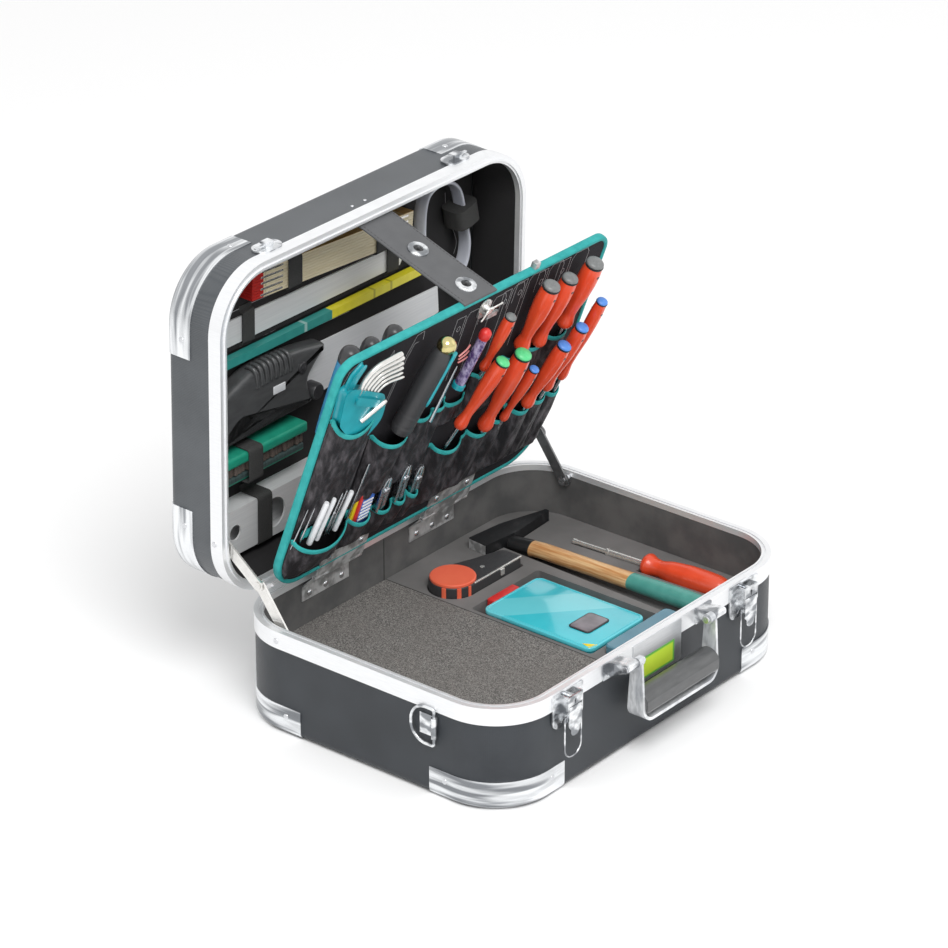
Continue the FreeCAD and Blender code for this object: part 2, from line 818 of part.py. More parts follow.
def latch_lever():
    half, tab = lever_width / 2, lever_tab_width / 2
    waist, low = lever_z - lever_waist, lever_z - lever_length
    right_side = [(tab, low), (tab, waist - tab / 2), (half, waist), (half, lever_z)]
    outline = [(latch_centre - x, z) for x, z in right_side[::-1]]
    outline += [(latch_centre + x, z) for x, z in right_side]
    end_round = tab - lever_pin
    plate = prism(outline, [0, lever_pin, lever_pin, end_round, end_round, lever_pin, lever_pin, 0], "y",
                  lock_y, lock_y + lever_sheet)
    roll = cross_rod(lever_roll, lever_y, lever_z, latch_centre - half, latch_centre + half)
    high = lever_z - lever_flange_gap
    flanges = [box(start, start + lever_sheet, lock_y, lock_y + lever_sheet + lever_flange_depth,
                   high - lever_flange_length, high)
               for start in (latch_centre - half, latch_centre + half - lever_sheet)]
    holes = [cross_rod(lever_pin + running, lever_y, lever_z, latch_centre - half - overrun,
                       latch_centre + half + overrun),
             cross_rod(bail_wire + running, bail_y, bail_z, latch_centre - half - overrun,
                       latch_centre + half + overrun)]
    return fused(plate, roll, *flanges).cut(holes)


def latch_bail():
    low = bail_z - bail_length + bail_wire
    ends = [latch_centre - bail_half_width + bail_grip, latch_centre - bail_half_width]
    points = [vector(ends[0], bail_y, bail_z), vector(ends[1], bail_y, bail_z), vector(ends[1], bail_y, low)]
    points += [vector(latch_centre * 2 - point.x, bail_y, point.z) for point in reversed(points)]
    foot_round = bail_half_width - bail_wire
    top_round = bail_wire * 3 / 2
    return bent_rod(points, [0, top_round, foot_round, foot_round, top_round, 0], bail_wire, False)


def catch():
    middle = lid_rim + catch_rise
    x0, x1 = catch_centre - catch_width / 2, catch_centre + catch_width / 2
    front = -half_depth - catch_sheet
    plate = prism(rectangle(x0, x1, middle - catch_height / 2, middle + catch_height / 2),
                  catch_height / 2 - seat_gap, "y", front, -half_depth)
    left, right = catch_centre - hook_width / 2, catch_centre + hook_width / 2
    low = middle - hook_height / 2
    stand = box(left, right, front - hook_stand, front, low, low + hook_sheet)
    lip = box(left, right, front - hook_stand, front - hook_stand + hook_sheet, low, low + hook_height)
    bridge = box(right - hook_sheet, catch_centre + tongue_length, front - tongue_lift,
                 front - tongue_lift + hook_sheet / 2, middle - tongue_width / 2, middle + tongue_width / 2)
    post = box(right - hook_sheet, right, front - hook_stand, front, low, middle + tongue_width / 2)
    return fused(plate, stand, lip, bridge, post)


def latches():
    save("latch_housings", *both(latch_housing()))
    left_first = [("left", mirrored), ("right", lambda shape: shape)]
    for side, place in left_first:
        save("latch_lever_" + side, place(latch_lever()))
        save("latch_bail_" + side, place(latch_bail()))
    save("lid_catches", *[opened(piece) for piece in both(catch())])
    x0, x1 = latch_centre - housing_width / 2, latch_centre + housing_width / 2
    return both(cross_rod(lever_pin, lever_y, lever_z, x0, x1))


pin_y = -half_depth - handle_pin_out
pin_z = base_height - handle_pin_low
bow_foot = pin_z - handle_drop


def handle():
    outside = rectangle(-handle_half_width, handle_half_width, bow_foot, pin_z)
    inner = handle_half_width - handle_strip
    inside = rectangle(-inner, inner, bow_foot + handle_strip, pin_z + overrun)
    front, back = pin_y - handle_foot_depth / 2, pin_y + handle_foot_depth / 2
    inner_round_here = handle_round - handle_strip
    strip = prism(outside, [handle_round, handle_round, 0, 0], "y", front, back).cut(
        prism(inside, [inner_round_here, inner_round_here, 0, 0], "y", front - overrun, back + overrun))
    top = handle_top_depth / 2
    side = [(front, bow_foot), (back, bow_foot), (pin_y + top, pin_z), (pin_y - top, pin_z)]
    strip = strip.common(prism(side, 0, "x", -handle_half_width, handle_half_width))
    eyes = both(cross_rod(handle_eye, pin_y, pin_z, handle_half_width - handle_eye_width, handle_half_width))
    bore = cross_rod(handle_pin + running, pin_y, pin_z, -handle_half_width, handle_half_width)
    save("handle_bow", fused(strip, *eyes).cut(bore))
    grip = cross_rod(grip_radius, pin_y, bow_foot + grip_rise, -inner, inner)
    inside_grip = rectangle(seat_gap - inner, inner - seat_gap, bow_foot + handle_strip + seat_gap, pin_z)
    fit_round = inner_round_here - seat_gap
    save("handle_grip", grip.common(
        prism(inside_grip, [fit_round, fit_round, 0, 0], "y", front - overrun, back + overrun)))


def handle_fittings():
    x0 = handle_half_width + play
    x1 = x0 + bracket_width
    face = -half_depth - bracket_sheet
    high = base_height - bracket_drop
    plate = prism(rectangle(x0, x0 + bracket_plate_width, high - bracket_height, high), bracket_sheet, "y",
                  face, -half_depth)
    side = [(face, high), (pin_y, pin_z + bracket_knuckle), (pin_y, pin_z - bracket_knuckle),
            (face, high - bracket_height + bracket_sheet)]
    hollow = [(face + overrun, high - bracket_sheet), (pin_y, pin_z + bracket_knuckle - bracket_sheet),
              (pin_y, pin_z - bracket_knuckle * 2), (face + overrun, high - bracket_height * 2)]
    hood = prism(side, 0, "x", x0, x1).cut(
        prism(hollow, 0, "x", x0 + bracket_sheet, x1 - bracket_sheet))
    hollow_box = box(x0, x1, face, -half_depth, high - bracket_height, high)
    roll = cross_rod(bracket_knuckle, pin_y, pin_z, x0, x1)
    bore = cross_rod(handle_pin + running, pin_y, pin_z, x0 - overrun, x1 + overrun)
    bracket = fused(plate, hood, roll).cut(bore)
    save("handle_brackets", *both(bracket.fuse(hollow_box.common(plate)).removeSplitter()))
    inner_end = handle_half_width - handle_eye_width - play
    pin = fused(cross_rod(handle_pin, pin_y, pin_z, inner_end, x1),
                cross_rod(pin_end_radius, pin_y, pin_z, inner_end - pin_end_length, inner_end),
                cross_rod(pin_end_radius, pin_y, pin_z, x1, x1 + pin_end_length / 2))
    half = front_plate_width / 2
    top = base_height - front_plate_drop
    rounds = [front_plate_round, front_plate_round, front_plate_sheet, front_plate_sheet]
    save("front_plate", prism(rectangle(-half, half, top - front_plate_height, top), rounds, "y",
                              -half_depth - front_plate_sheet, -half_depth))
    return both(pin)


def strap_rings():
    face = half_width - shell_inset
    x, y = face + lug_knuckle, -ring_front
    middle = base_height - ring_drop
    low, high = middle - lug_height / 2, middle + lug_height / 2
    plate = box(face, face + lug_sheet, y, y + lug_reach, low, high)
    roll = rod(lug_knuckle, vector(x, y, low), vector(x, y, high))
    bore = rod(ring_wire + running, vector(x, y, low - overrun), vector(x, y, high + overrun))
    save("ring_lugs", *both(fused(plate, roll).cut(bore)))
    foot, head = middle - ring_height / 2, middle + ring_height / 2
    far = y + ring_reach
    points = [vector(x, y, foot), vector(x, y, head), vector(x, far, head), vector(x, far, foot)]
    small, large = ring_wire * 2, ring_height / 2 - ring_wire
    ring = bent_rod(points, [small, small, large, large], ring_wire, True)
    save("strap_ring_left", mirrored(ring))
    save("strap_ring_right", ring)


def stays():
    lid_end = opened_point(*stay_lid)
    lower = link(stay_base, stay_elbow, stay_width, lower_link_x - stay_sheet, lower_link_x)
    lower = fused(lower, cross_rod(elbow_head, *stay_elbow, lower_link_x - stay_sheet - elbow_head_length,
                                   lower_link_x - stay_sheet))
    lower = lower.cut(cross_rod(stay_stud_radius + running, *stay_base, lower_link_x - stay_sheet - overrun,
                                lower_link_x + overrun))
    upper = link(stay_elbow, lid_end, stay_width, upper_link_x - stay_sheet, upper_link_x)
    upper = fused(upper, cross_rod(elbow_head, *stay_elbow, upper_link_x, upper_link_x + elbow_head_length))
    upper = upper.cut(cross_rod(stay_stud_radius + running, *lid_end, upper_link_x - stay_sheet - overrun,
                                upper_link_x + overrun))
    for side, place in [("left", mirrored), ("right", lambda shape: shape)]:
        save("stay_lower_" + side, place(lower))
        save("stay_upper_" + side, place(upper))


# A place on the pallet: across from the middle, up from the board's foot, and out from its face
def spot(x_share, rise_share, proud):
    return vector(x_share * board_width / 2, -(board_set + proud), board_bottom + rise_share * board_height)


def board_outline(grow):
    half = board_width / 2 + grow
    return rectangle(-half, half, board_bottom - grow, board_bottom + board_height + grow)


def board_rounds(grow):
    return [board_foot_round + grow, board_foot_round + grow, board_top_round + grow, board_top_round + grow]


def driver(shares, foot_proud, head_proud, blade_length):
    x_head, rise_head, x_foot, rise_foot, size = shares
    foot, head = spot(x_foot, rise_foot, foot_proud), spot(x_head, rise_head, head_proud)
    heading = (head - foot).normalize()
    radius = driver_radius * size
    body = turned(foot, head, radius, driver_body_shares)
    cap = turned(head, head + heading * driver_cap * size, radius, driver_cap_shares)
    tip = foot - heading * blade_length
    room = rod(driver_blade + play, tip - heading * play, foot)
    return [body, cap], rod(driver_blade, tip, foot), room


def pocket(name):
    left, right, mouth, foot, deep, shallow = pocket_shares[name]
    outline = [(-board_set, spot(0, foot, 0).z), (-board_set, spot(0, mouth, 0).z),
               (-board_set - deep * pocket_depth, spot(0, mouth, 0).z),
               (-board_set - shallow * pocket_depth, spot(0, foot, 0).z)]
    return prism(outline, 0, "x", left * board_width / 2, right * board_width / 2)


def mouth_of(name):
    return pocket_shares[name][2]


def pallet(board_leaves):
    front, back = -board_set, board_sheet - board_set
    board = prism(board_outline(0), board_rounds(0), "y", front, back)
    edge = prism(board_outline(piping_out), board_rounds(piping_out), "y",
                 front - piping_over, back + piping_over)
    window = prism(board_outline(-piping_in), board_rounds(-piping_in), "y",
                   front - overrun, back + overrun)
    room = [box(centre - pallet_hinge_width / 2 - play, centre + pallet_hinge_width / 2 + play,
                front - piping_over - overrun, front, 0, pallet_leaf_top)
            for centre in pallet_hinge_centres]
    save("pallet_board", leaned(board))
    save("pallet_piping", leaned(edge.cut([window, board] + room)))

    handles, blades, rooms = [], [], []
    rows = [(rear_driver_shares, rear_foot_proud, rear_head_proud, rear_blade_length),
            (front_driver_shares, front_foot_proud, front_head_proud, front_blade_length)]
    for row, foot_proud, head_proud, blade_length in rows:
        for shares in row:
            pieces, blade, hole = driver(shares, foot_proud, head_proud, blade_length)
            handles += pieces
            blades.append(blade)
            rooms.append(hole)
    save("screwdrivers", *[leaned(piece) for piece in handles])
    save("screwdriver_blades", *[leaned(blade) for blade in blades])

    pockets = [pocket(name).cut(rooms) for name in pocket_shares]
    left, right, mouth, foot = back_pocket_shares
    pockets.append(box(left * board_width / 2, right * board_width / 2, back, back + back_pocket_depth,
                       spot(0, foot, 0).z, spot(0, mouth, 0).z))
    save("pallet_pockets", *[leaned(piece) for piece in pockets])

    lock = spot(*turn_lock_shares, 0)
    lock_base = prism(rectangle(lock.x - turn_lock_width / 2, lock.x + turn_lock_width / 2,
                                lock.z - turn_lock_height / 2, lock.z + turn_lock_height / 2),
                      turn_lock_stem, "y", front - turn_lock_base, front)
    stem = rod(turn_lock_stem, vector(lock.x, front - turn_lock_out, lock.z), vector(lock.x, front, lock.z))
    toggle = box(lock.x - turn_lock_stem, lock.x + turn_lock_height, front - turn_lock_out,
                 front - turn_lock_out + turn_lock_base, lock.z - turn_lock_stem, lock.z + turn_lock_stem)
    block_x = edge_block_share * board_width / 2
    block_z = board_bottom + board_height + piping_out
    block = box(block_x - edge_block / 2, block_x + edge_block / 2, front, back,
                block_z, block_z + edge_block)
    fittings = board_leaves + [fused(lock_base, stem, toggle), block]
    save("pallet_fittings", *[leaned(piece) for piece in fittings])


def pallet_tools():
    keys = []
    for index in range(key_count):
        part = index / (key_count - 1)
        x_share = key_spread_shares[0] + part * (key_spread_shares[1] - key_spread_shares[0])
        rise = key_rise_shares[0] + part * (key_rise_shares[1] - key_rise_shares[0])
        foot = spot(x_share, mouth_of("hex_keys"), key_proud) + upward * seat_gap
        head = spot(x_share, rise, key_proud)
        keys.append(bent_rod([foot, head, head - backward * key_arm], [0, key_wire * 2, 0], key_wire, False))
    save("hex_keys", *[leaned(key) for key in keys])

    x_head, rise_head, x_foot, rise_foot = knife_shares
    foot, head = spot(x_foot, rise_foot, knife_foot_proud), spot(x_head, rise_head, knife_head_proud)
    ball = Part.makeSphere(knife_ball, head + (head - foot).normalize() * knife_ball / 2)
    save("cable_knife", leaned(fused(turned(foot, head, knife_radius, knife_body_shares), ball)))

    x_head, rise_head, x_foot, rise_foot = tester_shares
    foot, head = spot(x_foot, rise_foot, tester_foot_proud), spot(x_head, rise_head, tester_head_proud)
    small = [turned(foot, head, tester_radius, tester_body_shares)]
    for x_share, head_share, size in rod_shares:
        foot = spot(x_share, mouth_of("rods"), rod_proud) + upward * seat_gap
        small.append(rod(rod_radius * size, foot, spot(x_share, head_share, rod_proud)))
    for x_share, head_share, size in card_shares:
        low, high = spot(x_share, mouth_of("card"), play), spot(x_share, head_share, card_sheet * size)
        side = card_width / 4
        small.append(box(low.x - side, low.x + side, high.y, low.y, low.z + seat_gap, high.z))
    for x_share, head_share in head_shares:
        low, high = spot(x_share, mouth_of("heads"), play), spot(x_share, head_share, head_depth)
        side = head_width / 2
        small.append(box(low.x - side, low.x + side, high.y, low.y, low.z + seat_gap, high.z))
    save("small_tools", *[leaned(piece) for piece in small])

    pliers = []
    for head_x, foot_x in plier_shares:
        foot = spot(foot_x, back_pocket_shares[2], -plier_proud) + upward * play
        head = spot(head_x, plier_head_share, -plier_proud)
        pliers.append(turned(foot, head, plier_radius, plier_body_shares))
    save("back_pliers", *[leaned(piece) for piece in pliers])


def strap():
    inside_y = -(half_depth - clear_inset) + play + strap_sheet / 2
    rim_end = opened_point(inside_y, lid_rim + strap_tab_start)
    tab_end = opened_point(inside_y, lid_rim + strap_tab_start + strap_tab)
    over_edge = board_bottom + board_height + piping_out + play + strap_sheet
    pallet_end = leaned_point(board_sheet / 2 - board_set, over_edge)
    x0, x1 = strap_centre - strap_width / 2, strap_centre + strap_width / 2
    leather = sheet_run([tab_end, rim_end, pallet_end], strap_sheet, x0, x1)
    run_y, run_z = pallet_end[0] - rim_end[0], pallet_end[1] - rim_end[1]
    length = math.hypot(run_y, run_z)
    out = vector(0, run_z / length, -run_y / length)
    snaps = []
    for share in snap_shares:
        place = vector(strap_centre, rim_end[0] + share * run_y, rim_end[1] + share * run_z)
        place = place + out * (strap_sheet / 2)
        ring = rod(snap_radius, place, place + out * snap_height)
        snaps.append(ring.cut(rod(snap_hole, place - out * overrun, place + out * (snap_height + overrun))))
    save("leather_strap", leather, *snaps)


def tape_outline(grow):
    low, high = tape_y - tape_radius - grow, tape_y + tape_radius + grow
    right = tape_x + tape_length - tape_radius / 2 + grow
    nose = tape_y + tape_nose_share * tape_radius + grow
    return [(tape_x, low), (right, low), (right, nose), (tape_x, high)]


def tape_shape(grow, z0, z1):
    barrel = rod(tape_radius + grow, vector(tape_x, tape_y, z0), vector(tape_x, tape_y, z1))
    rounds = [0, tape_round, tape_round, 0]
    return fused(barrel, prism(tape_outline(grow), rounds, "z", z0, z1))


def hammer_axis():
    turn = math.radians(hammer_slant)
    return vector(math.sin(turn), -math.cos(turn), 0)


def hammer_head_shape(grow, z0, z1):
    half = hammer_face / 2 + grow
    pein = hammer_pein / 2 + grow
    shoulder = hammer_left / 4
    outline = [(-hammer_left - grow, -half), (shoulder, -half), (hammer_right + grow, -pein),
               (hammer_right + grow, pein), (shoulder, half), (-hammer_left - grow, half)]
    head = prism(outline, edge_soft, "z", z0, z1)
    head.rotate(vector(0, 0, 0), upward, hammer_turn)
    head.translate(vector(hammer_x, hammer_y, 0))
    return head


# Ellipses along a line, wider than they are high, joined into one swelling bar
def swelled(start, heading, length, width, height, shares):
    side = heading.cross(upward)
    wires = []
    for along, size in shares:
        centre = start + heading * (length * along)
        beside, above = side * (width / 2 * size), upward * (height / 2 * size)
        ellipse = Part.Ellipse(centre + beside, centre + above, centre)
        wires.append(Part.Wire([ellipse.toShape()]))
    return Part.makeLoft(wires, True, False)


def long_driver_axis():
    turn = math.radians(long_driver_slant)
    return vector(math.sin(turn), math.cos(turn), 0)


def base_contents():
    foam = case_slab(clear_inset + play, shell_wall + seat_gap, foam_top)
    left = box(-half_width, seam_x - play / 2, -half_depth, half_depth, 0, foam_top)
    right = box(seam_x + play / 2, half_width, -half_depth, half_depth, 0, foam_top)
    save("floor_foam", foam.common(left))

    tape_low = foam_top - tape_sunk
    tape_top = tape_low + tape_height
    dial = rod(dial_radius, vector(tape_x, tape_y, tape_top), vector(tape_x, tape_y, tape_top + dial_height))
    save("tape_measure", tape_shape(0, tape_low, tape_top), dial)

    head_low = foam_top - hammer_sunk
    head_top = head_low + hammer_height
    save("hammer_head", hammer_head_shape(0, head_low, head_top))
    heading = hammer_axis()
    haft_start = vector(hammer_x, hammer_y, (head_low + head_top) / 2)
    haft = swelled(haft_start, heading, hammer_length, haft_width, haft_height, haft_shares)
    save("hammer_haft", haft.cut(hammer_head_shape(haft_gap, head_low, head_top)))
    haft_low = haft_start.z - haft_height / 2 - foam_relief
    haft_end = haft_start + heading * (hammer_length + foam_relief)
    reach = haft_width / 2 + foam_relief
    haft_room = prism([(haft_start.x - reach, haft_start.y), (haft_start.x + reach, haft_start.y),
                       (haft_end.x + reach, haft_end.y), (haft_end.x - reach, haft_end.y)],
                      0, "z", haft_low, foam_top + overrun)

    axis = long_driver_axis()
    butt = vector(long_driver_x, long_driver_front, foam_top + long_driver_rise)
    collar = butt + axis * long_driver_grip
    tip = collar + axis * long_driver_blade
    save("long_screwdriver", turned(butt, collar, long_driver_radius, long_driver_shares),
         rod(long_driver_rod, collar, tip))
    wide, narrow = long_driver_radius + foam_relief, long_driver_rod + foam_relief
    grip_room = prism([(butt.x - wide, butt.y - foam_relief), (butt.x + wide, butt.y - foam_relief),
                       (collar.x + wide, collar.y + foam_relief), (collar.x - wide, collar.y + foam_relief)],
                      0, "z", butt.z - wide, foam_top + overrun)
    blade_room = prism([(collar.x - narrow, collar.y), (collar.x + narrow, collar.y),
                        (tip.x + narrow, tip.y + foam_relief), (tip.x - narrow, tip.y + foam_relief)],
                       0, "z", butt.z - narrow, foam_top + overrun)

    def flat_box(left, front, width, length, top, height, turn_radius, grow):
        outline = rectangle(left - grow, left + width + grow, front - grow, front + length + grow)
        high = foam_top + overrun if grow else top
        return prism(outline, turn_radius + grow, "z", top - height, high)

    parts = (box_left, box_front, box_width, box_length, foam_top + box_proud, box_height, box_round)
    clear = (clear_left, clear_front, clear_width, clear_length, foam_top + clear_proud, clear_height,
             clear_round)
    save("parts_box", soften(flat_box(*parts, 0), edge_soft, foam_top + box_proud))
    save("clear_case", soften(flat_box(*clear, 0), edge_soft, foam_top + clear_proud))
    pocket_front = box_front - foam_relief
    pocket_left = box_left - foam_relief
    pocket_plan = rectangle(pocket_left, pocket_right, pocket_front, pocket_front + pocket_length)
    pocket_floor = foam_top + box_proud - box_height
    pocket = prism(pocket_plan, pocket_round, "z", pocket_floor, foam_top + overrun)
    rooms = [tape_shape(foam_relief, tape_low, foam_top + overrun),
             hammer_head_shape(foam_relief, head_low, foam_top + overrun),
             flat_box(*clear, foam_relief), pocket, haft_room, grip_room, blade_room]
    save("insert_foam", foam.common(right).cut(rooms))


def lid_outline(shares):
    return [(x * half_width, y * half_depth) for x, y in shares]


# A strap over a tool on the lid board, open towards the board
def loop(x_share, y0, y1, height):
    x0, x1 = x_share * half_width - loop_width / 2, x_share * half_width + loop_width / 2
    near, far = y0 - loop_slack, y1 + loop_slack
    low = lid_face - height - loop_slack
    outer = box(x0, x1, near - loop_sheet, far + loop_sheet, low - loop_sheet, lid_face - seat_gap)
    return outer.cut(box(x0 - overrun, x1 + overrun, near, far, low, lid_face + overrun))


def lid_contents():
    top = lid_face - seat_gap
    turn = math.radians(rule_turn)
    centre_x = rule_end_shares[0] * half_width - rule_length / 2 * math.cos(turn)
    centre_y = rule_end_shares[1] * half_depth - rule_length / 2 * math.sin(turn)
    stick = rule_width / rule_sticks
    sticks = []
    for index in range(rule_sticks):
        start = index * stick - rule_width / 2
        end = start + stick - rule_stick_gap
        piece = box(-rule_length / 2, rule_length / 2, start, end, top - rule_height, top)
        piece.rotate(vector(0, 0, 0), upward, rule_turn)
        piece.translate(vector(centre_x, centre_y, 0))
        sticks.append(opened(piece))
    save("folding_rule", *sticks)

    def plate(name, shares, turn_radius, low, high, cuts=()):
        shape = prism(lid_outline(shares), turn_radius, "z", low, high)
        save(name, opened(shape.cut(list(cuts)) if cuts else shape))
        return shape

    plate("toothed_blade", toothed_shares, edge_soft, top - toothed_sheet, top)
    left, right, middle = bar_shares
    bar_y = middle * half_depth
    save("hacksaw_blade", opened(box(left * half_width, right * half_width, bar_y - bar_width / 2,
                                     bar_y + bar_width / 2, top - bar_height, top)))
    grip = plate("saw_grip", saw_grip_shares, saw_grip_round, top - saw_grip_height, top)
    blade_low = top - saw_blade_lift - saw_blade_sheet
    plate("saw_blade", saw_blade_shares, edge_soft, blade_low, blade_low + saw_blade_sheet, [grip])
    x0, x1, y0, y1 = plane_shares
    plate("small_plane", rectangle(x0, x1, y0, y1), plane_round, top - plane_height, top)
    plate("hacksaw_frame", hacksaw_shares, hacksaw_round, top - hacksaw_height, top)

    left, right, middle = level_shares
    level_y = middle * half_depth
    low_y, high_y = level_y - level_width / 2, level_y + level_width / 2
    level = box(left * half_width, right * half_width, low_y, high_y, top - level_height, top)
    level = level.cut(box(left * half_width - overrun, right * half_width + overrun, low_y + level_wall,
                          high_y - level_wall, top - level_height + level_wall, top - level_wall))
    holes = [(share, level_hole) for share in level_hole_shares]
    holes += [(share, level_vial) for share in level_vial_shares]
    for share, radius in holes:
        x = share * half_width
        level = level.cut(rod(radius, vector(x, level_y, top - level_height - overrun),
                              vector(x, level_y, top - level_wall - seat_gap)))
    save("spirit_level", opened(level))

    def rule_span(name):
        middle = centre_y + (loop_shares[name] * half_width - centre_x) * math.tan(turn)
        return middle - rule_width / 2, middle + rule_width / 2, rule_height

    spans = {
        "rule_left": rule_span("rule_left"),
        "rule_right": rule_span("rule_right"),
        "plane": (y0 * half_depth, y1 * half_depth, plane_height),
        "level_left": (low_y, high_y, level_height),
        "level_right": (low_y, high_y, level_height),
    }
    for name, (low, high) in toothed_loop_shares.items():
        spans[name] = (low * half_depth, high * half_depth, toothed_sheet)
    save("holding_loops", *[opened(loop(loop_shares[name], *span)) for name, span in spans.items()])


def main():
    os.makedirs("parts", exist_ok=True)
    base_case()
    lid_case()
    pins = lid_hinges()
    pallet_pins, board_leaves = pallet_hinges()
    pins += pallet_pins + latches()
    handle()
    pins += handle_fittings()
    save("hinge_pins", *pins)
    strap_rings()
    stays()
    pallet(board_leaves)
    pallet_tools()
    strap()
    base_contents()
    lid_contents()


main()
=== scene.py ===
# Hard tool case, dressed: camera and light, finishes, then the pieces that the CAD keeps plain.
# Sizes are in millimetres and become metres when a mesh is made.
import bpy
import bmesh
import math
import numpy as np
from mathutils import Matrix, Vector


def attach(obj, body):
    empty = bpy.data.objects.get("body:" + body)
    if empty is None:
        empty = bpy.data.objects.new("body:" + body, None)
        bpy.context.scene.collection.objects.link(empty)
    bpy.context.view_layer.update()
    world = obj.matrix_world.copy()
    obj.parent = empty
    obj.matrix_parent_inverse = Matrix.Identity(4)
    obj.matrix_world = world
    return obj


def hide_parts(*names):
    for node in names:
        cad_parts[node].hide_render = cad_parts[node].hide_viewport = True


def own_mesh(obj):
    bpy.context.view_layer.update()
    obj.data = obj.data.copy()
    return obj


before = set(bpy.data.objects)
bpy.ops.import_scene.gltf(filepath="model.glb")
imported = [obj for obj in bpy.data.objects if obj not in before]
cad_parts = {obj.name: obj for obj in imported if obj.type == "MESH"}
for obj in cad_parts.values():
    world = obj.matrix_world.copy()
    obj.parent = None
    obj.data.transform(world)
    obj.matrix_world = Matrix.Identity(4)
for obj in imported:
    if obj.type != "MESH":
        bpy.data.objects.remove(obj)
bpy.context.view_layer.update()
scene = bpy.context.scene


# camera, floor and light

view = {"eye": (-3.0922, -2.4572, 2.1747), "azimuth": -50.94, "elevation": 26.31, "lens": 173.36, "sensor": 36.0,
        "near": 0.1, "far": 50.0}
light = {"sky": 0.84, "floor": 0.98, "half": 12.0, "target": (0, 0, 0.15),
         "lamps": (("keyLamp", (-1.3, -1.6, 2.9), 1.8, 64.0), ("fillLamp", (2.4, -1.8, 1.6), 2.2, 5.0))}


def aimed(thing, place, way):  # put in the scene so that its own -Z looks along way
    thing.location = place
    thing.rotation_mode = "QUATERNION"
    thing.rotation_quaternion = way.to_track_quat("-Z", "Y")
    scene.collection.objects.link(thing)


def makeCamera():
    data = bpy.data.cameras.new("camera")
    data.lens, data.sensor_width = view["lens"], view["sensor"]
    data.clip_start, data.clip_end = view["near"], view["far"]
    turn, lift = math.radians(view["azimuth"]), math.radians(view["elevation"])
    way = Vector((-math.sin(turn) * math.cos(lift), math.cos(turn) * math.cos(lift), -math.sin(lift)))
    camera = bpy.data.objects.new("camera", data)
    aimed(camera, view["eye"], way)
    scene.camera = camera


class Wire:  # a material's socket; sums on it add Math nodes
    def __init__(self, socket):
        self.socket, self.tree = socket, socket.id_data

    def node(self, kind, settings=None, values=None, out=0):
        made = self.tree.nodes.new(kind)
        for name, value in (settings or {}).items():
            setattr(made, name, value)
        for name, value in (values or {}).items():
            if isinstance(value, Wire):
                self.tree.links.new(value.socket, made.inputs[name])
            else:
                made.inputs[name].default_value = value
        return Wire(made.outputs[out])

    def sums(self, operation, *values):
        return self.node("ShaderNodeMath", {"operation": operation}, dict(enumerate(values)))

    __add__ = __radd__ = lambda self, other: self.sums("ADD", self, other)
    __sub__ = lambda self, other: self.sums("SUBTRACT", self, other)
    __rsub__ = lambda self, other: self.sums("SUBTRACT", other, self)
    __mul__ = lambda self, other: self.sums("MULTIPLY", self, other)


def tone(*colour):  # a screen colour of 0 to 255, as linear light
    return tuple((c / 255 / 12.92 if c <= 10 else ((c / 255 + 0.055) / 1.055) ** 2.4) for c in colour) + (1,)


def surface(name, recipe):
    made = bpy.data.materials.new(name)
    made.use_nodes = True
    tree = made.node_tree
    shader = tree.nodes["Principled BSDF"]
    here = Wire(tree.nodes.new("ShaderNodeTexCoord").outputs["Object"])
    place = here.node("ShaderNodeVectorMath", {"operation": "SCALE"}, {"Vector": here, "Scale": 1000.0})
    for socket, value in recipe(place).items():
        if isinstance(value, Wire):
            tree.links.new(value.socket, shader.inputs[socket])
        else:
            shader.inputs[socket].default_value = value
    return made


def axes(place):
    made = place.tree.nodes.new("ShaderNodeSeparateXYZ")
    place.tree.links.new(place.socket, made.inputs[0])
    return [Wire(out) for out in made.outputs]


def noise(place, scale, detail=2.0, rough=0.5):  # 0 to 1, features about 1/scale mm
    values = {"Vector": place, "Scale": scale, "Detail": detail, "Roughness": rough}
    return place.node("ShaderNodeTexNoise", None, values)


def stretched(place, x, y, z):
    return place.node("ShaderNodeVectorMath", {"operation": "MULTIPLY"}, {0: place, 1: (x, y, z)})


def ease(value, low, high):  # 0 at low, 1 at high, smooth between
    return value.node("ShaderNodeMapRange", {"interpolation_type": "SMOOTHSTEP"},
                      {"Value": value, "From Min": low, "From Max": high})


def mix(factor, first, second):  # each side is a wire or a screen colour
    first, second = (tone(*side) if isinstance(side, tuple) else side for side in (first, second))
    return factor.node("ShaderNodeMix", {"data_type": "RGBA"}, {0: factor, 6: first, 7: second}, 2)


def wave(value, length):  # -1 to 1, one turn in length
    turned = value * (2 * math.pi / length)
    return turned.sums("SINE", turned)


def size(value):
    return value.sums("ABSOLUTE", value)


def band(value, low, high, soft):  # 1 between low and high
    return ease(value, low - soft, low + soft) * (1 - ease(value, high - soft, high + soft))


inputNames = {"metal": "Metallic", "coat": "Coat Weight", "coatRough": "Coat Roughness", "shine": "Specular IOR Level",
              "clear": "Transmission Weight", "bend": "IOR"}


def look(colour, rough, relief=None, **more):  # the shader's inputs; relief is (height, distance, strength)
    made = {"Base Color": colour, "Roughness": rough}
    if relief:
        values = dict(zip(("Height", "Distance", "Strength"), relief))
        made["Normal"] = relief[0].node("ShaderNodeBump", None, values)
    made.update((inputNames[name], value) for name, value in more.items())
    return made


def floorFinish(place):
    return look((light["floor"],) * 3 + (1,), 0.9, shine=0.2)


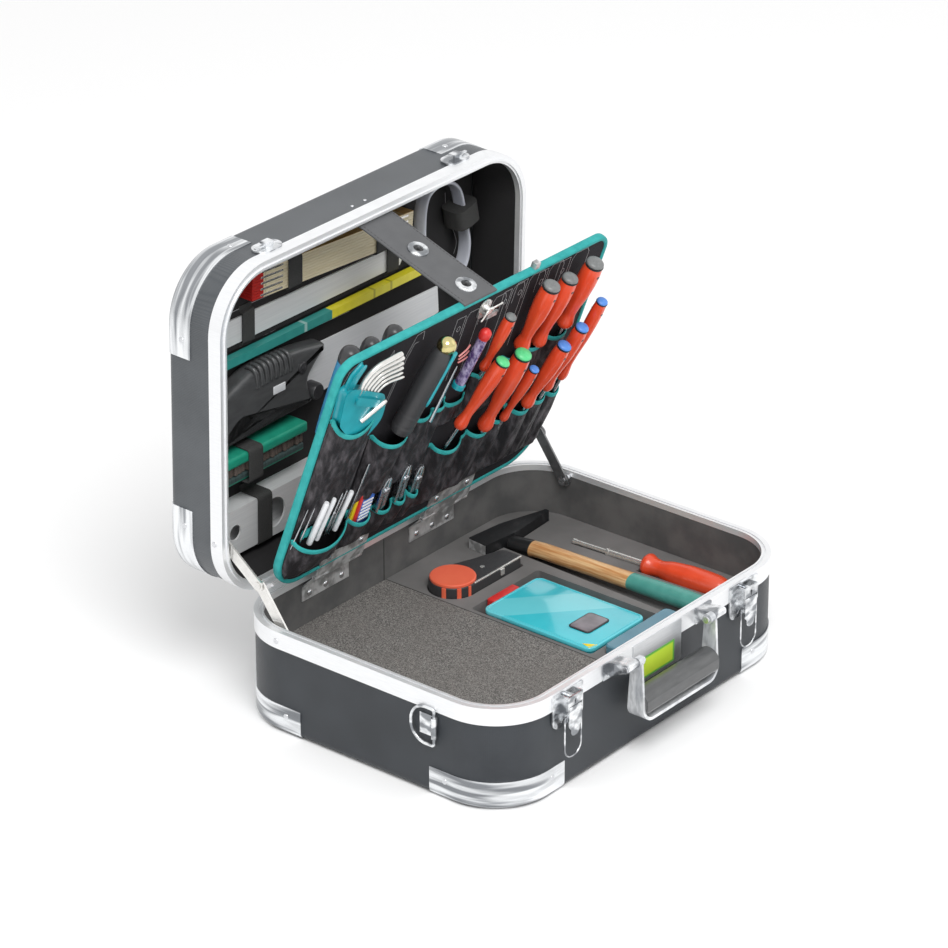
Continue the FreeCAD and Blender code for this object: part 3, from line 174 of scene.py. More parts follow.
def makeRoom():
    floor = bpy.data.meshes.new("floor")
    corners = [(x * light["half"], y * light["half"], -0.001) for x, y in ((-1, -1), (1, -1), (1, 1), (-1, 1))]
    floor.from_pydata(corners, [], [(0, 1, 2, 3)])
    ground = bpy.data.objects.new("floor", floor)
    floor.materials.append(surface("paleFloor", floorFinish))
    scene.collection.objects.link(ground)
    made = bpy.data.worlds.new("studio")
    scene.world = made
    made.use_nodes = True
    tree = made.node_tree
    back = tree.nodes["Background"]
    path = tree.nodes.new("ShaderNodeLightPath")
    camera, glossy, through = (Wire(path.outputs[f"Is {kind} Ray"]) for kind in ("Camera", "Glossy", "Transmission"))
    seen = camera + glossy + through
    plainShare = seen.sums("MINIMUM", seen, 1.0)
    tree.links.new((light["sky"] + plainShare * (1 - light["sky"])).socket, back.inputs["Strength"])
    back.inputs["Color"].default_value = (1, 1, 1, 1)
    for name, place, width, power in light["lamps"]:
        data = bpy.data.lights.new(name, "AREA")
        data.shape, data.size, data.energy = "DISK", width, power
        aimed(bpy.data.objects.new(name, data), place, Vector(light["target"]) - Vector(place))
    scene.view_settings.view_transform = "Standard"


makeCamera()
makeRoom()
print("camera and light")


# finishes, one function each: place is in millimetres, colours are screen colours of 0 to 255

# the base and lid shells are one material: this base finish is painted darker, as shade, and the lid finish below
# lighter, as lit
def caseShellShaded(place):
    x, y, z = axes(place)
    weave = size(wave(x + y + z, 2.6)) * size(wave(x + y - z, 2.6))
    rubbed = noise(place, 0.02, 4.0)
    colour = mix(ease(rubbed, 0.25, 0.75), (40, 44, 49), (52, 56, 61))
    return look(colour, 0.30 + rubbed * 0.16, (weave, 0.00035, 0.5), shine=0.42)


# the lid's shell: the same material as the base, painted lighter as lit
def lidShell(place):
    x, y, z = axes(place)
    hatch = size(wave(x + z, 3.4)) * size(wave(x - z, 3.4))
    rubbed = noise(place, 0.02, 4.0)
    colour = mix(ease(rubbed, 0.25, 0.75), (64, 68, 72), (78, 82, 86))
    # hatch * 0.12 lifts the colour toward pale grey along the hatch: painted glints; the hatch is also the bump
    return look(mix(hatch * 0.12, colour, (150, 152, 154)), 0.30 + rubbed * 0.14, (hatch, 0.00035, 0.5))


def paintedReflections(near, far, level, metal=0.8):  # plating with painted reflections: broad dark bands and fine dark streaks along one way, as a studio room would show in it
    def recipe(place):
        # broad: the painted dark reflection bands; fine: finer painted reflection streaks toward darker steel
        broad = ease(noise(stretched(place, *near), 1.0, 2.0, 0.4), 0.40, 0.56)
        fine = ease(noise(stretched(place, *far), 1.0, 3.0), 0.35, 0.6)
        colour = mix(broad, (level, level + 3, level + 7), (240, 242, 244))
        return look(mix(fine * 0.3 + 0.7, (110, 113, 117), colour), 0.14 + broad * 0.1,
                    (noise(place, 0.25), 0.00004, 0.4), metal=metal)
    return recipe


def brightSteel(place):
    rolled = noise(stretched(place, 1.0, 0.2, 0.2), 0.8, 4.0)
    patch = ease(noise(place, 0.09, 2.0), 0.38, 0.62)
    colour = mix(patch, (156, 156, 156), mix(rolled, (200, 201, 202), (236, 236, 236)))
    return look(colour, 0.32 + rolled * 0.1, (rolled, 0.00002, 0.3), metal=0.55)


def liningCloth(place):
    x, y, z = axes(place)
    seam = band(x, -6.3, -4.9, 0.4) * ease(y, 120.0, 130.0)
    colour = mix(ease(noise(place, 0.03, 4.0), 0.3, 0.7), (86, 86, 86), (106, 105, 104))
    return look(mix(seam * 0.8, colour, (28, 28, 28)), 0.82, (noise(place, 1.6, 4.0, 0.7), 0.00025, 0.5), shine=0.25)


def speckledFoam(place):
    fine, coarse = noise(place, 0.9, 2.0, 0.8), noise(place, 0.02, 3.0)
    speck = mix(ease(fine, 0.42, 0.62), (78, 76, 74), (152, 149, 145))
    return look(mix(ease(coarse, 0.3, 0.7) * 0.35, speck, (112, 108, 104)), 0.92, (fine, 0.0005, 0.6))


def plainFoam(place):
    x, y, z = axes(place)
    # deep darkens the foam lower down, below z 54.6, as painted shade in its cut-outs; rim darkens it at x below -3.4
    # as painted shade at the gap between the parts
    deep, rim = 1 - ease(z, 20.0, 54.6), 1 - ease(x, -3.4, -2.2)
    colour = mix(ease(noise(place, 0.015, 3.0), 0.3, 0.7), (104, 103, 102), (122, 120, 119))
    return look(mix(rim * 0.8, mix(deep * 0.55, colour, (62, 61, 60)), (40, 39, 38)), 0.9,
                (noise(place, 1.4, 3.0, 0.7), 0.0002, 0.5))


def tealTape(place):
    x, y, z = axes(place)
    rib = size(wave(x * 0.8 + z + y * 0.3, 1.5))
    return look(mix(noise(place, 0.12, 4.0), (20, 138, 140), (66, 188, 184)), 0.62,
                (rib + noise(place, 0.9) * 0.6, 0.00022, 0.7), shine=0.3)


def pocketCloth(place):
    creasesAndSheen = noise(stretched(place, 1.0, 1.0, 0.22), 0.11, 5.0, 0.6)
    woven = noise(place, 2.4, 3.0, 0.7)
    # near-black cloth, paler along the creases: painted highlights on the folds; the creases also make the bump
    return look(mix(ease(creasesAndSheen, 0.4, 0.74), (32, 30, 33), (92, 88, 92)), 0.4 + woven * 0.2,
                (creasesAndSheen * 6.0 + woven * 0.5, 0.0005, 0.7), shine=0.3)


def strapLeather(place):
    pores = place.node("ShaderNodeTexVoronoi", None, {"Vector": place, "Scale": 0.9})
    cloudy = noise(place, 0.06, 4.0)
    return look(mix(cloudy, (80, 81, 83), (98, 99, 101)), 0.6, (pores + cloudy * 0.5, 0.00018, 0.5))


def forgedBlack(place):
    scale, rubbed = noise(place, 0.3, 5.0, 0.6), ease(noise(place, 0.08, 4.0), 0.55, 0.75)
    return look(mix(rubbed * 0.4, (34, 35, 37), (88, 88, 90)), 0.32 + scale * 0.16, (scale, 0.0002, 0.5), metal=0.35)


def ashHaft(place):  # bare wood, dipped in green below y -20, a black sleeve above y 87
    x, y, z = axes(place)
    ring = noise(stretched(place, 1.0, 0.06, 1.0), 0.28, 5.0, 0.55)
    streak = noise(stretched(place, 1.0, 0.02, 1.0), 1.1, 3.0)
    wood = mix(ease(ring, 0.35, 0.7), (196, 138, 84), (236, 200, 148))
    wood = mix(ease(streak, 0.6, 0.75) * 0.5, wood, (138, 86, 42))
    dipped = mix(noise(place, 0.08, 3.0), (60, 140, 130), (92, 170, 158))
    painted, sleeve = 1 - ease(y + x * 0.1, -21.0, -20.0), ease(y, 87.0, 87.8)
    return look(mix(sleeve, mix(painted, wood, dipped), (30, 30, 31)), 0.36 + ring * 0.12, (ring, 0.00012, 0.4),
                coat=0.3)


def ivoryWood(place):  # folding rule: pale sides, a face with ticks, a red end and brass bands
    x, y, z = axes(place)
    fibre = noise(stretched(place, 0.04, 1.0, 1.0), 0.8, 4.0)
    side = mix(fibre, (222, 204, 160), (248, 240, 214))
    tick = ease(wave(x, 2.0), 0.2, 0.5) * ease(y, 226.0, 227.0)
    face = mix(tick * 0.7, mix(fibre, (176, 134, 74), (206, 168, 106)), (70, 44, 24))
    colour = mix(ease(z + x * 0.0612, 409.5, 409.9), side, face)
    colour = mix(1 - ease(x, -115.5, -115.0), colour, (196, 40, 34))
    bands = band(x, -113.0, -111.0, 0.3) + band(x, 92.0, 94.0, 0.3)
    return look(mix(bands * 0.7, colour, (196, 184, 150)), 0.48, (fibre, 0.00012, 0.4))


def twoToneBar(place):  # teal, then yellow from x -11 on, with paler stripes; black behind
    x, y, z = axes(place)
    edge = noise(place, 0.1, 3.0)
    stripe = (band(x, -52.0, -48.0, 0.3) + band(x, 52.0, 55.0, 0.3) + band(x, 78.0, 81.0, 0.3)) * 0.6
    teal = mix(stripe, mix(edge, (44, 138, 132), (66, 164, 156)), (198, 226, 222))
    gold = mix(stripe, mix(edge, (226, 212, 34), (246, 236, 66)), (150, 140, 30))
    return look(mix(1 - ease(y, 231.0, 231.6), (24, 24, 25), mix(ease(x, -11.0, -10.4), teal, gold)), 0.36)


def greenPlane(place):
    x, y, z = axes(place)
    green = mix(noise(place, 0.07, 3.0), (24, 140, 112), (48, 176, 146))
    hair = mix(noise(stretched(place, 1.0, 0.1, 0.1), 1.4, 2.0), (24, 40, 42), (96, 116, 114))
    return look(mix(band(z, 208.0, 219.0, 0.8), green, hair), 0.4, (size(wave(z, 6.0)), 0.0002, 0.4))


def loopWeb(place):
    x, y, z = axes(place)
    pile, rib = noise(place, 1.1, 4.0, 0.8), size(wave(z + x * 0.2, 1.6))
    return look(mix(pile, (46, 46, 46), (92, 92, 91)), 0.9, (pile + rib * 0.4, 0.0005, 0.8), shine=0.2)


def turquoiseCard(place):
    x, y, z = axes(place)
    base = mix(noise(place, 0.03, 3.0), (48, 186, 202), (78, 212, 224))
    # a diagonal band across the card, lighter: a painted reflection
    colour = mix(band(y + x * 0.9, 22.0, 70.0, 1.2) * 0.4, base, (150, 232, 238))
    border = 1 - band(x, 6.0, 89.0, 0.8) * band(y, -88.0, 41.0, 0.8)
    return look(mix(border * 0.35, colour, (120, 226, 236)), 0.16, coat=0.6, coatRough=0.05)


def limeLabel(place):  # lime field, green border, bare metal round it
    x, y, z = axes(place)
    edge = 1 - band(x, -28.0, 27.0, 0.4) * band(z, 66.0, 89.5, 0.4)
    inner = band(x, -25.6, 24.6, 0.5) * band(z, 68.0, 87.0, 0.5)
    field = mix(inner, (96, 176, 70), mix(noise(place, 0.05, 2.0), (182, 214, 52), (204, 228, 74)))
    metal = mix(noise(stretched(place, 0.05, 1.0, 1.0), 1.0, 3.0), (196, 198, 200), (226, 227, 229))
    return look(mix(edge, field, metal), 0.28, metal=edge * 0.9)


# one noise between two colours: grain is its scale, detail and roughness, gain adds it to the shader's roughness,
# along stretches it, edge sharpens it in the colour, relief is (scale or 0 for the same noise, distance, strength)
def plain(dark, pale, rough, grain, gain=0.0, along=None, edge=None, relief=None, **more):
    def recipe(place):
        grained = noise(stretched(place, *along) if along else place, *grain)
        height = relief and (noise(place, relief[0]) if relief[0] else grained,) + relief[1:]
        return look(mix(ease(grained, *edge) if edge else grained, dark, pale),
                    rough + grained * gain if gain else rough, height, **more)
    return recipe


def softCap(dark, pale):
    return plain(dark, pale, 0.34, (0.4, 3.0), relief=(0, 0.0001, 0.5))


def paint(dark, pale, rough=0.36):
    return plain(dark, pale, rough, (0.1, 3.0), relief=(1.0, 0.00006, 0.5))


recipes = {recipe.__name__: recipe for recipe in (
    caseShellShaded, lidShell, brightSteel, liningCloth, speckledFoam, plainFoam, tealTape, pocketCloth, strapLeather,
    forgedBlack, ashHaft, ivoryWood, twoToneBar, greenPlane, loopWeb, turquoiseCard, limeLabel)}
alongX = (0.03, 1.0, 1.0)  # grain drawn out along x
recipes.update(
    chrome=paintedReflections((0.06, 0.06, 0.11), (0.1, 0.1, 0.2), 142),
    baseCapChrome=paintedReflections((0.010, 0.010, 0.13), (0.02, 0.02, 0.2), 132),
    lidCapChrome=paintedReflections((0.010, 0.12, 0.010), (0.02, 0.2, 0.02), 150),
    bowSteel=paintedReflections((0.03, 0.06, 0.03), (0.1, 0.3, 0.1), 206, 0.3),
    rimAluminium=plain((226, 227, 229), (246, 247, 248), 0.3, (1.0, 3.0), 0.08, (0.06, 0.06, 2.2),
                       relief=(0, 0.00002, 0.3), metal=0.5),
    rivetSteel=plain((190, 192, 196), (232, 233, 235), 0.14, (0.6,), 0.2, metal=1.0),
    # the right-hand stays: the same metal as the left ones, painted darker as shade
    stayDark=plain((92, 92, 93), (140, 140, 141), 0.3, (0.8, 4.0), 0.1, (1.0, 0.2, 0.2), relief=(0, 0.00002, 0.3),
                   metal=0.7),
    blackFelt=plain((24, 23, 26), (48, 46, 50), 0.8, (2.2, 4.0, 0.75), relief=(0, 0.0003, 0.6), shine=0.2),
    bareBoard=plain((32, 31, 32), (60, 59, 60), 0.8, (2.0, 4.0, 0.75), relief=(0, 0.00025, 0.6), shine=0.25),
    driverRed=plain((220, 66, 36), (238, 88, 50), 0.26, (0.05, 3.0), 0.08, relief=(0.5, 0.00004, 0.4), coat=0.3,
                    coatRough=0.12),
    toolSteel=plain((150, 152, 156), (214, 216, 220), 0.16, (0.7, 4.0), 0.2, (1.0, 1.0, 0.15), metal=1.0),
    satinSilver=plain((206, 204, 200), (240, 239, 236), 0.24, (0.15, 3.0), metal=0.75),
    tealPlastic=plain((18, 138, 150), (38, 170, 182), 0.28, (0.06, 3.0), relief=(0.8, 0.00005, 0.4), coat=0.2),
    blackPlastic=plain((40, 40, 42), (62, 62, 64), 0.38, (1.8, 3.0, 0.7), 0.14, relief=(0, 0.00016, 0.5)),
    gripGloss=plain((62, 63, 64), (94, 95, 96), 0.3, (0.2, 3.0), 0.1, (0.3, 1.0, 1.0), relief=(1.2, 0.00006, 0.5),
                    coat=0.25),
    thread=plain((58, 57, 58), (84, 82, 83), 0.7, (0.9,)),
    orangePlastic=plain((234, 94, 66), (244, 118, 84), 0.4, (0.05, 3.0), relief=(1.2, 0.0001, 0.5)),
    sawSteel=plain((222, 224, 227), (244, 245, 246), 0.28, (0.6, 4.0), 0.12, alongX, metal=0.1),
    lightAlloy=plain((218, 219, 220), (242, 243, 243), 0.36, (0.6, 4.0), 0.1, alongX, relief=(1.2, 0.0001, 0.5),
                     metal=0.05),
    lilacGrey=plain((178, 181, 194), (222, 225, 233), 0.26, (0.05, 3.0), relief=(1.0, 0.00006, 0.5), coat=0.3),
    clearBlue=plain((92, 170, 200), (150, 208, 228), 0.1, (0.03,), clear=0.55, bend=1.35, coat=0.4),
    brass=plain((176, 160, 96), (232, 222, 168), 0.1, (0.12, 3.0), 0.1, metal=1.0),
    clearPurple=plain((84, 62, 120), (196, 184, 220), 0.12, (0.22, 4.0, 0.7), 0.0, (1.0, 1.0, 0.5), (0.35, 0.65),
                      (0, 0.0006, 0.5), clear=0.25, coat=0.4),
    bristle=plain((40, 34, 32), (150, 134, 124), 0.7, (1.6, 3.0), 0.0, (1.0, 0.12, 1.0), relief=(0, 0.0006, 0.8)),
    cardGrey=plain((92, 86, 92), (132, 126, 132), 0.25, (0.04, 3.0), edge=(0.3, 0.7), coat=0.5),
    outlineInk=plain((146, 146, 148), (186, 186, 188), 0.7, (0.6,)),
    greyCap=softCap((96, 98, 98), (132, 134, 134)), greenCap=softCap((64, 190, 118), (108, 222, 150)),
    blueCap=softCap((58, 116, 200), (100, 156, 232)), ringBlack=softCap((30, 30, 31), (50, 50, 51)),
    redPaint=paint((196, 34, 36), (224, 58, 52)), yellowPaint=paint((238, 206, 20), (252, 228, 50)),
    bluePaint=paint((40, 88, 178), (62, 116, 206)), whitePaint=paint((224, 226, 230), (244, 245, 247)),
    plierBlue=paint((32, 108, 152), (60, 142, 184), 0.42), darkRubber=paint((40, 40, 42), (70, 70, 72), 0.3),
    pinkWire=paint((196, 110, 110), (226, 150, 146)))
finishes = {name: surface(name, recipe) for name, recipe in recipes.items()}

worn = {  # the CAD nodes that each finish is put on
    "caseShellShaded": "base_shell", "lidShell": "lid_shell", "rimAluminium": "base_frame lid_frame",
    "baseCapChrome": "base_corner_caps", "lidCapChrome": "lid_corner_caps", "bowSteel": "handle_bow",
    "chrome": "latch_housings latch_lever_left latch_lever_right latch_bail_left latch_bail_right "
              "lid_catches handle_brackets ring_lugs strap_ring_left strap_ring_right",
    "rivetSteel": "base_rivets lid_rivets hinge_pins",
    "brightSteel": "lid_hinge_base_leaves lid_hinge_lid_leaves pallet_hinge_base_leaves pallet_fittings",
    "stayDark": "stay_lower_right stay_upper_right", "liningCloth": "base_lining",
    "bareBoard": "lid_board lid_lining", "speckledFoam": "floor_foam", "plainFoam": "insert_foam",
    "blackFelt": "pallet_board", "tealTape": "pallet_piping", "pocketCloth": "pallet_pockets",
    "toolSteel": "screwdriver_blades", "gripGloss": "handle_grip", "limeLabel": "front_plate",
    "orangePlastic": "tape_measure", "forgedBlack": "hammer_head", "ashHaft": "hammer_haft",
    "driverRed": "long_screwdriver screwdrivers", "turquoiseCard": "parts_box", "clearBlue": "clear_case",
    "ivoryWood": "folding_rule", "lightAlloy": "spirit_level toothed_blade", "twoToneBar": "hacksaw_blade",
    "blackPlastic": "saw_grip cable_knife", "sawSteel": "saw_blade", "greenPlane": "small_plane",
    "lilacGrey": "hacksaw_frame", "loopWeb": "holding_loops",
    "satinSilver": "hex_keys small_tools stay_lower_left stay_upper_left", "plierBlue": "back_pliers",
    "strapLeather": "leather_strap",
}
for finish, names in worn.items():
    for name in names.split():
        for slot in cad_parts[name].material_slots:
            slot.material = finishes[finish]
print("finishes on", sum(len(names.split()) for names in worn.values()), "CAD nodes")


# building surfaces: each returns points in millimetres and faces as index rows

def gridFaces(rows, cols, closeRows=False, closeCols=False):  # quads between neighbours of a grid of points
    row, col = np.meshgrid(np.arange(rows - (not closeRows)), np.arange(cols - (not closeCols)), indexing="ij")
    nextRow, nextCol = (row + 1) % rows, (col + 1) % cols
    return np.stack([row * cols + col, row * cols + nextCol, nextRow * cols + nextCol, nextRow * cols + col],
                    -1).reshape(-1, 4).tolist()


def tubeFaces(rows, count):  # the quads of a row of closed rings, and a face on each end
    ends = [tuple(range(count))[::-1], tuple(range((rows - 1) * count, rows * count))]
    return gridFaces(rows, count, False, True) + ends


def columns(*rows):  # points from their coordinates, where one number serves for all
    return np.stack(np.broadcast_arrays(*rows), -1)


def turns(count):  # angles all the way round
    return np.linspace(0, 2 * math.pi, count, endpoint=False)


def unit(vectors):
    return vectors / np.maximum(np.linalg.norm(vectors, axis=-1, keepdims=True), 1e-12)


def sweep(path, section, up, closed=False, sizes=None):  # a section carried along a path: path + side * a + over * b
    path, section = np.asarray(path, float), np.asarray(section, float)
    heading = unit(np.roll(path, -1, 0) - np.roll(path, 1, 0)) if closed else unit(np.gradient(path, axis=0))
    side = unit(np.cross(heading, np.asarray(up, float)))
    over = np.cross(side, heading)
    sizes = np.ones(len(path)) if sizes is None else np.asarray(sizes, float)
    wide = section[None] * sizes[:, None, None]
    points = path[:, None] + wide[..., :1] * side[:, None] + wide[..., 1:] * over[:, None]
    rows, count = len(path), len(section)
    return points.reshape(-1, 3), gridFaces(rows, count, True, True) if closed else tubeFaces(rows, count)


def circle(radius, count, flat=1.0):  # radius * (cos, flat * sin)
    return columns(radius * np.cos(turns(count)), radius * flat * np.sin(turns(count)))


def squared(wide, high, power, count):  # a superellipse, round at power 2 and square as it grows
    c, s = np.cos(turns(count)), np.sin(turns(count))
    return columns(wide / 2 * np.sign(c) * np.abs(c) ** (2 / power), high / 2 * np.sign(s) * np.abs(s) ** (2 / power))


def roundBox(x0, x1, y0, y1, radii, steps=6):  # an outline with its own radius at each corner, from (x0, y0) round
    corners = [(x0, y0, 1, 1, 180), (x1, y0, -1, 1, 270), (x1, y1, -1, -1, 0), (x0, y1, 1, -1, 90)]
    radii = radii if isinstance(radii, tuple) else (radii,) * 4
    arcs = []
    for (x, y, inX, inY, start), radius in zip(corners, radii):
        angle = np.radians(start + np.linspace(0, 90, steps))
        arcs.append(columns(x + inX * radius + radius * np.cos(angle), y + inY * radius + radius * np.sin(angle)))
    return np.concatenate(arcs)


def slab(outline, low, high, soft, steps=4):  # an outline raised from low to high, its edges rounded by soft
    outline = np.asarray(outline, float)
    heading = unit(np.roll(outline, -1, 0) - np.roll(outline, 1, 0))
    outward = columns(heading[:, 1], -heading[:, 0])
    angle = np.linspace(0, math.pi / 2, steps)
    inset = np.concatenate([soft * (1 - np.sin(angle)), soft * (1 - np.sin(angle))[::-1]])
    level = np.concatenate([low + soft * (1 - np.cos(angle)), high - soft * (1 - np.cos(angle))[::-1]])
    rings = outline[None] - inset[:, None, None] * outward[None]
    points = np.concatenate([rings, np.broadcast_to(level[:, None, None], rings.shape[:2] + (1,))], -1)
    return points.reshape(-1, 3), tubeFaces(len(level), len(outline))


def lathe(start, end, profile, sides=24, radius=1.0, flutes=0, depth=0.0):  # rings (share from start to end, radius)
    start, end = np.asarray(start, float), np.asarray(end, float)
    profile = np.asarray(profile, float) * (1, radius)
    axis = unit(end - start)
    side = unit(np.cross(axis, (1.0, 0, 0) if abs(axis[0]) < 0.9 else (0, 1.0, 0)))
    over = np.cross(axis, side)
    angle, share = turns(sides), profile[:, 0]
    grow = np.sin(np.clip((share - 0.2) / 0.7, 0, 1) * math.pi)
    swell = 1 + depth * np.cos(flutes * angle)[None] * grow[:, None]
    ring = np.cos(angle)[:, None] * side + np.sin(angle)[:, None] * over
    points = start + (share[:, None] * (end - start))[:, None] + (profile[:, 1:] * swell)[..., None] * ring[None]
    return points.reshape(-1, 3), tubeFaces(len(share), sides)


def button(start, end, radius, top, sides, bend=0.7):  # a short round part, narrower at its end
    return lathe(start, end, ((0, radius), (bend, radius), (1, top)), sides)


def smoothed(line, passes):  # each inner value averaged with its neighbours
    for turn in range(passes):
        line[1:-1] = (line[:-2] + 2 * line[1:-1] + line[2:]) / 4
    return line


def eased(shares, count, passes=2):  # a table of shares drawn as a smooth curve, its ends held
    shares = np.asarray(shares, float)
    along = np.linspace(shares[0, 0], shares[-1, 0], count)
    return columns(along, smoothed(np.interp(along, shares[:, 0], shares[:, 1]), passes))


def lengths(line):  # how far along the line each point is
    return np.concatenate([[0], np.cumsum(np.linalg.norm(np.diff(line, axis=0), axis=1))])


def picked(line, length, spots):  # points at the lengths given
    return columns(*(np.interp(spots, length, row) for row in line.T))


def dense(corners, step=2.0):  # points along straight runs, close enough to turn the corners cleanly
    corners = np.asarray(corners, float)
    length = lengths(corners)
    spots = np.unique(np.concatenate([np.arange(0, length[-1], step), length, length[1:-1] - 0.01]))
    return picked(corners, length, spots)


def curve(corners, radius, step=2.0, steps=7):  # a dense path, a parabola across each corner
    corners = np.asarray(corners, float)
    parts = [corners[:1]]
    for before, here, after in zip(corners, corners[1:], corners[2:]):
        near = min(radius, np.linalg.norm(here - before) / 2, np.linalg.norm(after - here) / 2)
        a, b = here + unit(before - here) * near, here + unit(after - here) * near
        t = np.linspace(0, 1, steps)[:, None]
        parts.append((1 - t) ** 2 * a + 2 * t * (1 - t) * here + t ** 2 * b)
    return dense(np.concatenate(parts + [corners[-1:]]), step)


def flowing(corners, count, passes):  # a closed outline resampled evenly, then smoothed by averaging neighbours
    corners = np.asarray(corners, float)
    line = np.concatenate([corners, corners[:1]])
    length = lengths(line)
    made = picked(line, length, np.linspace(0, length[-1], count, endpoint=False))
    for turn in range(passes):
        made = (np.roll(made, 1, 0) + 2 * made + np.roll(made, -1, 0)) / 4
    return made


def ribbon(line, width, lift):  # a flat line on a plane: (x, y) points widened to both sides
    heading = unit(np.gradient(line, axis=0))
    side = columns(-heading[:, 1], heading[:, 0]) * width / 2
    points = np.stack([line + side, line - side], 1).reshape(-1, 2)
    return columns(*points.T, lift), gridFaces(len(line), 2)


def block(x0, x1, y0, y1, corner, low, high, soft, steps=6):  # a round-cornered slab
    return slab(roundBox(x0, x1, y0, y1, corner, steps), low, high, soft)


# where pieces are drawn: the pallet upright and the lid shut, then turned to the open case

def turned(across, up, angle):  # x * cos - y * sin, x * sin + y * cos
    c, s = math.cos(math.radians(angle)), math.sin(math.radians(angle))
    return across * c - up * s, across * s + up * c


def tilted(points, angle, y, z):  # turned by an angle about +X, then moved
    back, up = turned(points[..., 1], points[..., 2], angle)
    return columns(points[..., 0], back + y, up + z)


def onPallet(points):  # from the pallet's own upright frame
    return tilted(points, 20.0, 147.0, 113.0)


def onBoard(points):  # from a drawing on the pallet's face: x, rise and how far it stands proud
    return onPallet(columns(points[:, 0], -points[:, 2], points[:, 1]))


def onLid(points):  # from the closed case to the open lid, about the hinge
    return tilted(points - (0, 175.35, 107.3), -88.9, 175.35, 107.3)


def onRule(points):  # from the folding rule's own frame, which lies askew in the lid
    x, y = turned(points[:, 0], points[:, 1], 3.5)
    return onLid(columns(x - 11.49, y - 112.23, points[:, 2]))


def asDrawn(points):
    return points


places = {"pallet": (onPallet, "pallet"), "board": (onBoard, "pallet"), "lid": (onLid, "lid"), "rule": (onRule, "lid"),
          "openLid": (asDrawn, "lid"), "base": (asDrawn, "base")}


def piece(name, shapes, finish, place, node=None, shut=True, sharp=40):
    move, body = places[place]
    points, faces, start = [], [], 0
    for where, index in [shapes] if isinstance(shapes, tuple) else shapes:
        points.append(move(where))
        faces += [tuple(number + start for number in face) for face in index]
        start += len(where)
    mesh = bpy.data.meshes.new(name)
    mesh.from_pydata((np.concatenate(points) * 0.001).tolist(), [], faces)
    if shut:
        loose = bmesh.new()
        loose.from_mesh(mesh)
        bmesh.ops.remove_doubles(loose, verts=loose.verts, dist=1e-7)
        bmesh.ops.recalc_face_normals(loose, faces=loose.faces)
        loose.to_mesh(mesh)
        loose.free()
    mesh.polygons.foreach_set("use_smooth", [True] * len(mesh.polygons))
    mesh.set_sharp_from_angle(angle=math.radians(sharp))
    mesh.materials.append(finishes[finish])
    made = bpy.data.objects.new(name, mesh)
    scene.collection.objects.link(made)
    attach(made, body)
    if node:
        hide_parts(node)
    return made


def pieces(place, slot, node=None, **rows):  # pieces alike in all but finish, shapes and, if given, sharp angle
    return [piece(name, shapes, finish, place, node, sharp=sharp[0] if sharp else 40)
            for name, (finish, shapes, *sharp) in rows.items()]


# pallet: the board, whose face places are shares: x of half its width, rise of its height

board = {"half": 201.5, "foot": 15.0, "top": 301.0, "high": 286.0, "face": 1.2, "footRadius": 42.0, "topRadius": 18.0}
binding = {"across": 5.6, "through": 8.6, "inset": 0.85, "power": 3.2, "back": 1.8}


def spot(x, rise, proud):  # a place in front of the pallet's face
    return np.array([x * board["half"], -(board["face"] + proud), board["foot"] + rise * board["high"]])


def drawn(pairs):  # (x, rise) shares as places of a drawing on the face
    return np.array([(x * board["half"], board["foot"] + rise * board["high"]) for x, rise in pairs])


def makeBinding():  # tape round the board's edge
    inset = binding["inset"]
    foot, top = board["footRadius"] - inset, board["topRadius"] - inset
    line = roundBox(inset - board["half"], board["half"] - inset, board["foot"] + inset, board["top"] - inset,
                    (foot, foot, top, top), 14)
    path = columns(line[:, 0], binding["back"], line[:, 1])
    path = dense(np.concatenate([path, path[:1]]), 6.0)[:-1]
    section = squared(binding["across"], binding["through"], binding["power"], 20)
    piece("edgeBinding", sweep(path, section, (0, 1, 0), True), "tealTape", "pallet", "pallet_piping",
          sharp=60)


# pallet: pockets, each a cloth sheet that stands off the board over what it holds

# sides, mouth and foot as shares, depth at mouth and foot, the mouth's dip, and (centre, half width, part of the depth)
pockets = {
    "hexPocket": (-0.985, -0.615, 0.765, 0.27, 12.5, 3.0, 24.0, [(-0.79, 34, 1.0)]),
    "knifePocket": (-0.59, -0.03, 0.575, 0.25, 18.0, 3.5, 9.0,
                    [(-0.45, 25, 1.0), (-0.215, 15, 0.5), (-0.095, 11, 0.42)]),
    "testerPocket": (-0.025, 0.135, 0.545, 0.44, 5.0, 2.0, 2.0, [(0.055, 15, 1.0)]),
    "rearPocket": (0.14, 0.90, 0.635, 0.41, 9.0, 2.5, 3.0,
                   [(0.17, 12, 0.8), (0.30, 9, 0.4), (0.45, 15, 1.0), (0.60, 14, 0.9), (0.787, 16, 1.0)]),
    "frontPocket": (-0.03, 0.975, 0.36, 0.06, 14.0, 5.0, 8.0,
                    [(0.095, 22, 1.0), (0.20, 9, 0.5), (0.323, 18, 1.0), (0.48, 13, 0.8), (0.655, 17, 1.0),
                     (0.79, 14, 0.9), (0.905, 13, 0.9)]),
    "rodPocket": (-0.985, -0.565, 0.235, 0.045, 18.0, 4.0, 14.0, [(-0.775, 39, 1.0)]),
    "cardPocket": (-0.56, -0.385, 0.195, 0.055, 11.0, 3.0, 5.0, [(-0.47, 16, 1.0)]),
    "headPocket": (-0.38, -0.03, 0.195, 0.055, 12.0, 3.0, 6.0,
                   [(-0.305, 14, 0.9), (-0.185, 10, 0.9), (-0.085, 9, 0.9)]),
}
cloth = {"thickness": 0.9, "least": 0.5, "hem": 2.7, "hemThick": 1.0, "fold": 0.45, "step": 1.6, "rows": 26,
         "side": 5.0, "closing": 0.12, "seed": 3}


